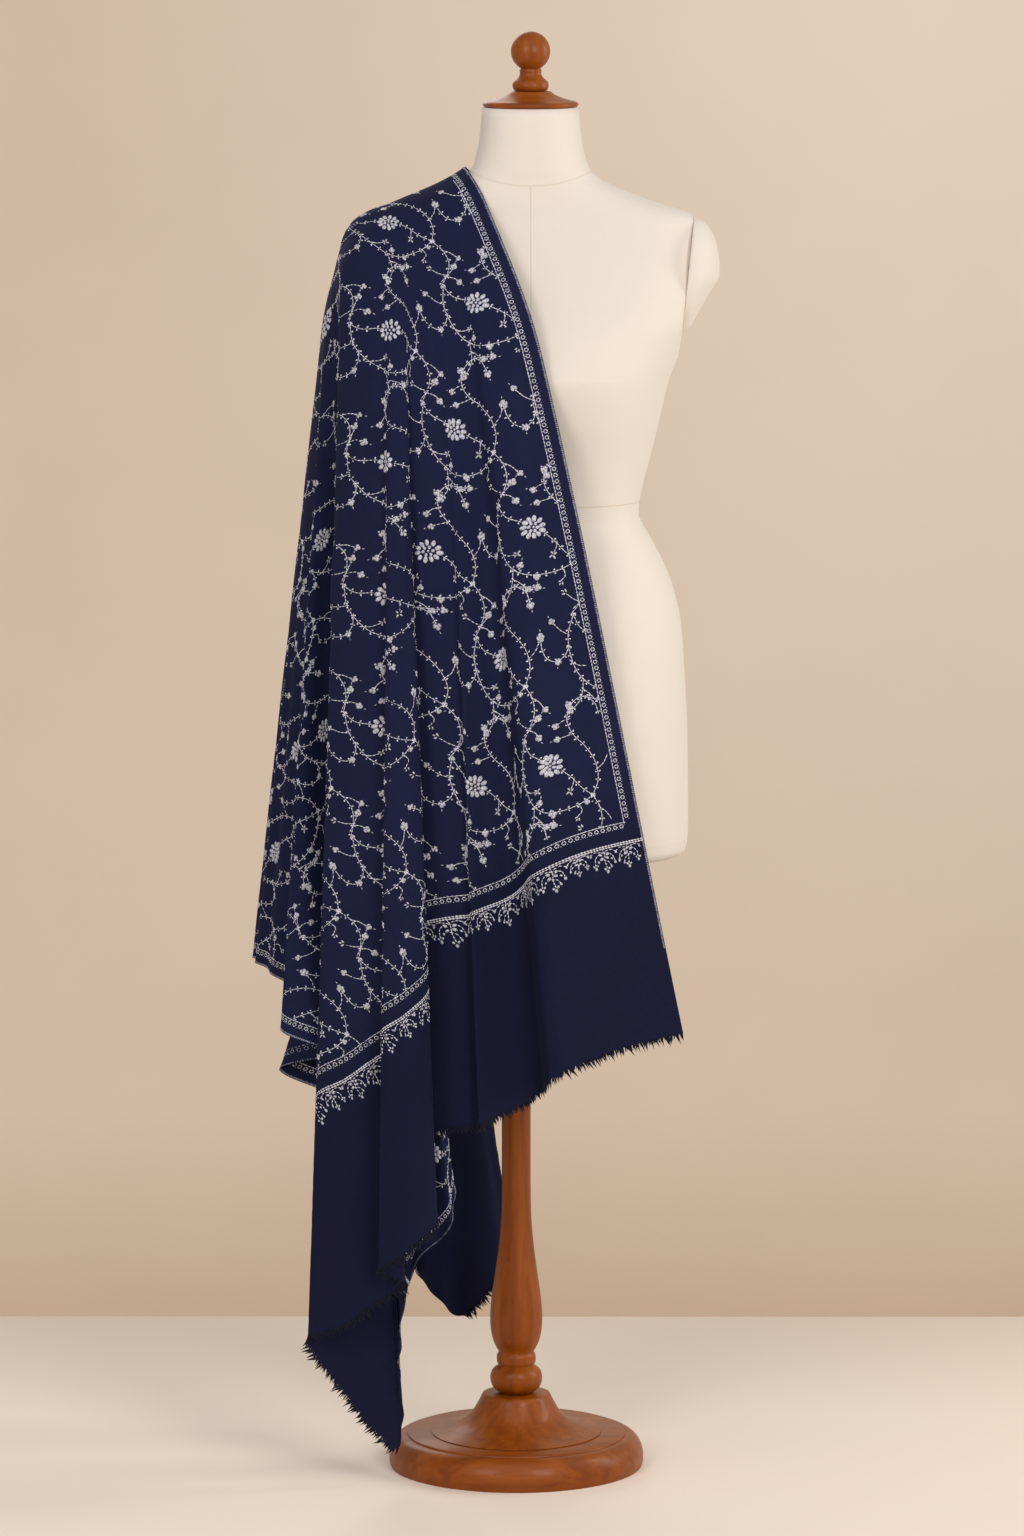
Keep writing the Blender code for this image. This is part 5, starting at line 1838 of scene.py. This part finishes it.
    def vine_paths(self) -> list[np.ndarray]:
        """Draws every vine of every repeat, cut where it meets the lines round the field.

        Returns:
            The smooth paths.
        """
        paths = []
        for vine in self.vines:
            length = path_length(np.array(vine, float))[-1]
            drawn = smoothed(vine, max(4, round(length / 2.5)))
            for column, row in self.cells():
                path = self.laid(drawn, column, row)
                inside = self.in_field(path)
                if inside.sum() > 2:
                    cuts = np.flatnonzero(np.diff(inside.astype(int))) + 1
                    paths += [part for part, kept in zip(np.split(path, cuts), np.split(inside, cuts))
                              if kept[0] and len(part) > 2]
        return paths

    @staticmethod
    def spot_rows(places: np.ndarray, turn: float, size: tuple[float, float, float]) -> np.ndarray:
        """Rows of u, v, turn, length, width and height for spots of one turn and size."""
        return np.concatenate([places, np.tile((turn, *size), (len(places), 1))], axis=1)

    def petal_rows(self) -> np.ndarray:
        """Places every petal of every flower.

        Returns:
            Rows for their spots.
        """
        rows = []
        for column, row in self.cells():
            if not self.in_field(self.laid(np.zeros((1, 2)), column, row)[0], 0.004):
                continue
            tilt = self.flower_tilt * math.sin(column * 2.1 + row * 3.7)
            for petal in self.petals:
                angle = math.radians(petal.direction) + tilt
                middle = np.array([[petal.reach * math.cos(angle), petal.reach * math.sin(angle)]])
                place = self.laid(middle, column, row)
                if self.in_field(place[0]):
                    size = (petal.length / 1000, petal.width / 1000, self.petal_height)
                    rows.append(self.spot_rows(place, math.pi - angle, size))
        return np.concatenate(rows)

    def bud_rows(self) -> tuple[np.ndarray, np.ndarray]:
        """Places every lobe of every bud of the field, and the loose stitch beyond the tip of a round one.

        Returns:
            Rows for the lobes' spots, and for the loose stitches.
        """
        lobes, tips = [], []
        for bud in self.buds:
            angle = math.radians(bud.points)
            ahead = np.array((math.cos(angle), math.sin(angle))) * bud.size
            aside = np.array((-ahead[1], ahead[0]))
            spots = [ahead * lobe.ahead + aside * lobe.aside for lobe in bud.kind.value]
            spots = np.array([*spots, ahead * (0.5 + 2.6 / bud.size)]) + (bud.x, bud.y)
            for column, row in self.cells():
                places = self.laid(spots, column, row)
                if not self.in_field(places, 0.002).all():
                    continue
                for place, lobe in zip(places, bud.kind.value):
                    size = (lobe.length * bud.size / 900, lobe.width * bud.size / 880, self.lobe_height)
                    lobes.append(self.spot_rows(place[None], math.pi - angle - lobe.turn, size))
                if bud.kind is BudKind.ROUND:
                    tips.append(self.spot_rows(places[-1:], math.pi - angle, self.tip_size))
        return np.concatenate(lobes), np.concatenate(tips)

    @staticmethod
    def straight(start: tuple[float, float], end: tuple[float, float]) -> np.ndarray:
        """A straight path in the flat cloth, with a point about every 20 mm."""
        return np.linspace(start, end, max(2, round(math.dist(start, end) / 0.02)))

    def border_paths(self) -> tuple[list[np.ndarray], list[np.ndarray], list[np.ndarray]]:
        """Draws the lines of the border.

        Returns:
            Thin lines round the field, thick lines below it, and the paths on which the scallops sit.
        """
        near, far = self.field_edge, self.cloth.width - self.field_edge
        low, high, out = self.field_back, self.field_front, self.scallop_out
        corners = [(near, low), (near, high), (far, high), (far, low), (near, low)]
        thin = [self.straight(*ends) for ends in zip(corners[:-1], corners[1:])]
        scallops = [self.straight((near - out, low), (near - out, high)),
                    self.straight((far + out, high), (far + out, low)),
                    self.straight((near, high + out), (far, high + out)),
                    self.straight((far, low - out), (near, low - out))]
        first, last, gap = self.thick_inset, self.cloth.width - self.thick_inset, self.thick_half_gap
        thick = [self.straight((first, level + aside), (last, level + aside))
                 for level in (self.thick_front, self.thick_back) for aside in (-gap, gap)]
        return thin, thick, scallops

    def scallop_rows(self, paths: list[np.ndarray]) -> tuple[np.ndarray, np.ndarray]:
        """Places small rings of stitches along paths, and a short tooth beyond the gap after each one.

        Args:
            paths: the straight paths, round the middle of the cloth.

        Returns:
            Rows for the rings' spots, and for the teeth.
        """
        rings, teeth = [], []
        for path in paths:
            length = math.dist(path[0], path[-1])
            run = (path[-1] - path[0]) / length
            outward = np.array((-run[1], run[0]))
            if np.dot(outward, path[0] - (self.cloth.width / 2, 0.02)) < 0:
                outward = -outward
            steps = np.arange(self.scallop_step / 2, length, self.scallop_step)
            places = path[0] + steps[:, None] * run
            for turn in np.linspace(0, math.tau, self.ring_stitches, endpoint=False):
                spoke = np.array((math.cos(turn), math.sin(turn))) * self.ring_radius
                rings.append(self.spot_rows(places + spoke, turn + math.pi / 2, self.ring_size))
            teeth.append(self.spot_rows(places + outward * self.tooth_out + run * self.scallop_step / 2,
                                        math.atan2(outward[1], outward[0]), self.tooth_size))
        return np.concatenate(rings), np.concatenate(teeth)

    def sprig_work(self, level: float, downward: int) -> tuple[list[np.ndarray], np.ndarray]:
        """Draws the row of sprigs beyond a thick line.

        Args:
            level: where the thick line lies along the cloth.
            downward: 1 where the sprigs point to the front hem, -1 to the rear one.

        Returns:
            The sprigs' paths, and rows for their buds.
        """
        paths, buds = [], []
        row_width = self.cloth.width - 2 * self.sprig_inset
        count = round(row_width / self.sprig_step)
        width, height = self.sprig_bud_shape
        for index in range(count):
            size = 1 + 0.12 * math.sin(index * 2.3) + 0.06 * math.sin(index * 5.1)
            flip = -1 if index % 2 else 1
            origin = np.array((self.sprig_inset + (index + 0.5) * row_width / count,
                               level + downward * self.sprig_drop))
            scale = np.array((flip, downward)) * size / 1000
            paths += [origin + smoothed(branch, 6) * scale for branch in self.sprig]
            for bud in self.sprig_buds:
                angle = math.radians(bud.points)
                turn = math.atan2(downward * math.sin(angle), flip * math.cos(angle))
                length = bud.size * size / 1000
                buds.append(self.spot_rows((origin + np.array((bud.x, bud.y)) * scale)[None], turn,
                                           (length, length * width, height)))
        return paths, np.concatenate(buds)

    def on_turned_edge(self, made: list[tuple]) -> list[tuple]:
        """Picks the needlework that lies where the front fall's outer edge turns its underside out.

        Args:
            made: flat pieces as points and triangles.

        Returns:
            The parts of them that lie there.
        """
        kept = []
        for points, corners in made:
            u, v, _ = points[corners].mean(axis=1).T
            inside = (u > self.turned_across) & (np.abs(v - self.turned_along) < self.turned_reach)
            used, numbers = np.unique(corners[inside], return_inverse=True)
            kept.append((points[used], numbers.reshape(-1, 3)))
        return kept

    def build(self) -> dict[str, list[bpy.types.Object]]:
        """Sews the front and the rear fall.

        Returns:
            The pieces of each fall.
        """
        finishes = (SilverSilk(), StemSilk(), SelvageYarn())
        silk, stem, yarn = (Thread(self.cloth, finish) for finish in finishes)
        vines, leaf = self.vine_paths(), silk.motif(6)
        thin, thick, scallops = self.border_paths()
        spots = (self.petal_rows(), *self.bud_rows(), *self.scallop_rows(scallops))
        pieces: dict[str, list[bpy.types.Object]] = {}
        for fall, sign, level, selvage_end in (("front", 1, self.thick_front, self.selvage_front),
                                               ("rear", -1, self.thick_back, self.selvage_back)):
            petals, buds, tips, rings, teeth = (rows[(rows[:, 1] >= 0) == (sign > 0)] for rows in spots)
            sprigs, sprig_buds = self.sprig_work(level, sign)
            runs = [path for path in vines if path[:, 1].mean() * sign > 0]
            leafy = [path for path in runs if path_length(path)[-1] > self.leafless_below]
            edges = [part for part in (path[path[:, 1] * sign >= 0] for path in thin) if len(part) > 1]
            doubled = [path for path in thick if path[0, 1] * sign > 0]
            selvages = [self.straight((edge, 0.0), (edge, sign * selvage_end))
                        for edge in (self.selvage_inset, self.cloth.width - self.selvage_inset)]
            lines = [stem.lines(runs, self.vine_stitch), stem.lines(sprigs, self.sprig_stitch)]
            leaves = [stem.lines(leafy, self.leaf_stitch.on(side), leaf) for side in (-1, 1)]
            flowers = [silk.spots(petals, 8, 21, 0.05), silk.spots(buds, 6, 22, 0.05),
                       silk.spots(sprig_buds, 6, 26), silk.spots(tips, 4, 23)]
            borders = [stem.lines(edges, self.thin_stitch), stem.lines(doubled, self.thick_stitch),
                       stem.spots(rings, 4, 24, 0.05), stem.spots(teeth, 4, 25)]
            whipped = [yarn.lines(selvages, self.whip_stitch.on(side)) for side in (-1, 1)]
            pieces[fall] = [
                stem.draped(f"embroidery_vines_{fall}", lines),
                stem.draped(f"embroidery_leaves_{fall}", leaves),
                silk.draped(f"embroidery_flowers_{fall}", flowers),
                stem.draped(f"embroidery_borders_{fall}", borders),
                yarn.draped(f"selvage_edging_{fall}", whipped)]
            if fall == "front":
                turned = self.on_turned_edge(lines + leaves + flowers + borders)
                pieces[fall].append(stem.draped("embroidery_underside_front", turned, -1))
        return pieces


@dataclass
class EyelashFringe:
    """Loose warp ends along both cut ends, which cling in three layers of short, uneven, pointed locks."""

    cloth: DrapedCloth
    root: float = 0.0012
    inset: float = 0.0012
    root_points: int = 60
    layers: tuple[Stitch, ...] = (
        Stitch(0.00150, (0.0068, 0.0014, 0.0013), 0.26, 41),
        Stitch(0.00230, (0.0092, 0.0017, 0.0013), 0.36, 42),
        Stitch(0.00410, (0.0112, 0.0019, 0.0013), 0.50, 43),
    )

    def lock(self) -> bpy.types.Object:
        """Makes one lock: four sides, a slight bend, and a point.

        Returns:
            The lock, one unit long.
        """
        turns = np.linspace(0, math.tau, 4, endpoint=False)
        ring = np.stack([0 * turns, np.cos(turns), np.sin(turns)], axis=1)
        points = [ring * (1, 0.50, 0.50), ring * (1, 0.38, 0.42) + (0.45, 0.16, 0.10), [(1, -0.10, 0.30)]]
        faces = [(2, 1, 0), (3, 2, 0)]
        for i in range(4):
            j = (i + 1) % 4
            faces += [(i, j, 4 + j), (i, 4 + j, 4 + i), (4 + i, 4 + j, 8)]
        mesh = mesh_of("lens_of_fringe", np.concatenate(points) - (0, 0, 0.3), faces)
        return new_object("lens_of_fringe", mesh)

    def build(self) -> dict[str, bpy.types.Object]:
        """Makes both fringes.

        Returns:
            The fringe of each fall.
        """
        thread, lock = Thread(self.cloth, NavyYarn()), self.lock()
        fringes = {}
        for fall, sign, length, node in (("front", 1, self.cloth.front_length, "shawl_fringe_front"),
                                         ("rear", -1, self.cloth.back_length, "shawl_fringe_back")):
            level = sign * (length - self.root)
            ends = ((self.inset, level), (self.cloth.width - self.inset, level))
            roots = [np.linspace(*ends, self.root_points)]
            made = [thread.lines(roots, layer._replace(lean=sign * math.pi / 2), lock)
                    for layer in self.layers]
            fringes[fall] = thread.draped(f"eyelash_fringe_{fall}", made)
            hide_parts(node)
        return fringes


def report(piece: bpy.types.Object) -> None:
    """Logs a piece's name and how many triangles it has."""
    piece.data.calc_loop_triangles()
    log.info("%s: %d triangles", piece.name, len(piece.data.loop_triangles))


def main() -> None:
    """Builds the pieces in order and reports each one."""
    logging.basicConfig(level=logging.INFO, format="%(message)s")
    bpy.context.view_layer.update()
    StudioCamera().build()
    Studio().build()
    form = DressForm()
    cloth = DrapedCloth()
    cloth.hang(form)
    for part in (form, TurnedStand()):
        for piece in part.build():
            report(piece)
    falls = cloth.build()
    sewn = Embroidery(cloth).build()
    fringes = EyelashFringe(cloth).build()
    for motif in [obj for obj in bpy.data.objects if obj.name.startswith("lens_of_")]:
        bpy.data.objects.remove(motif, do_unlink=True)
    for fall, name, length in zip(falls, ("front", "rear"), (cloth.front_length, cloth.back_length)):
        trimmings = sewn[name] + [fringes[name]]
        for piece in [fall] + trimmings:
            report(piece)


if __name__ == "__main__":
    main()
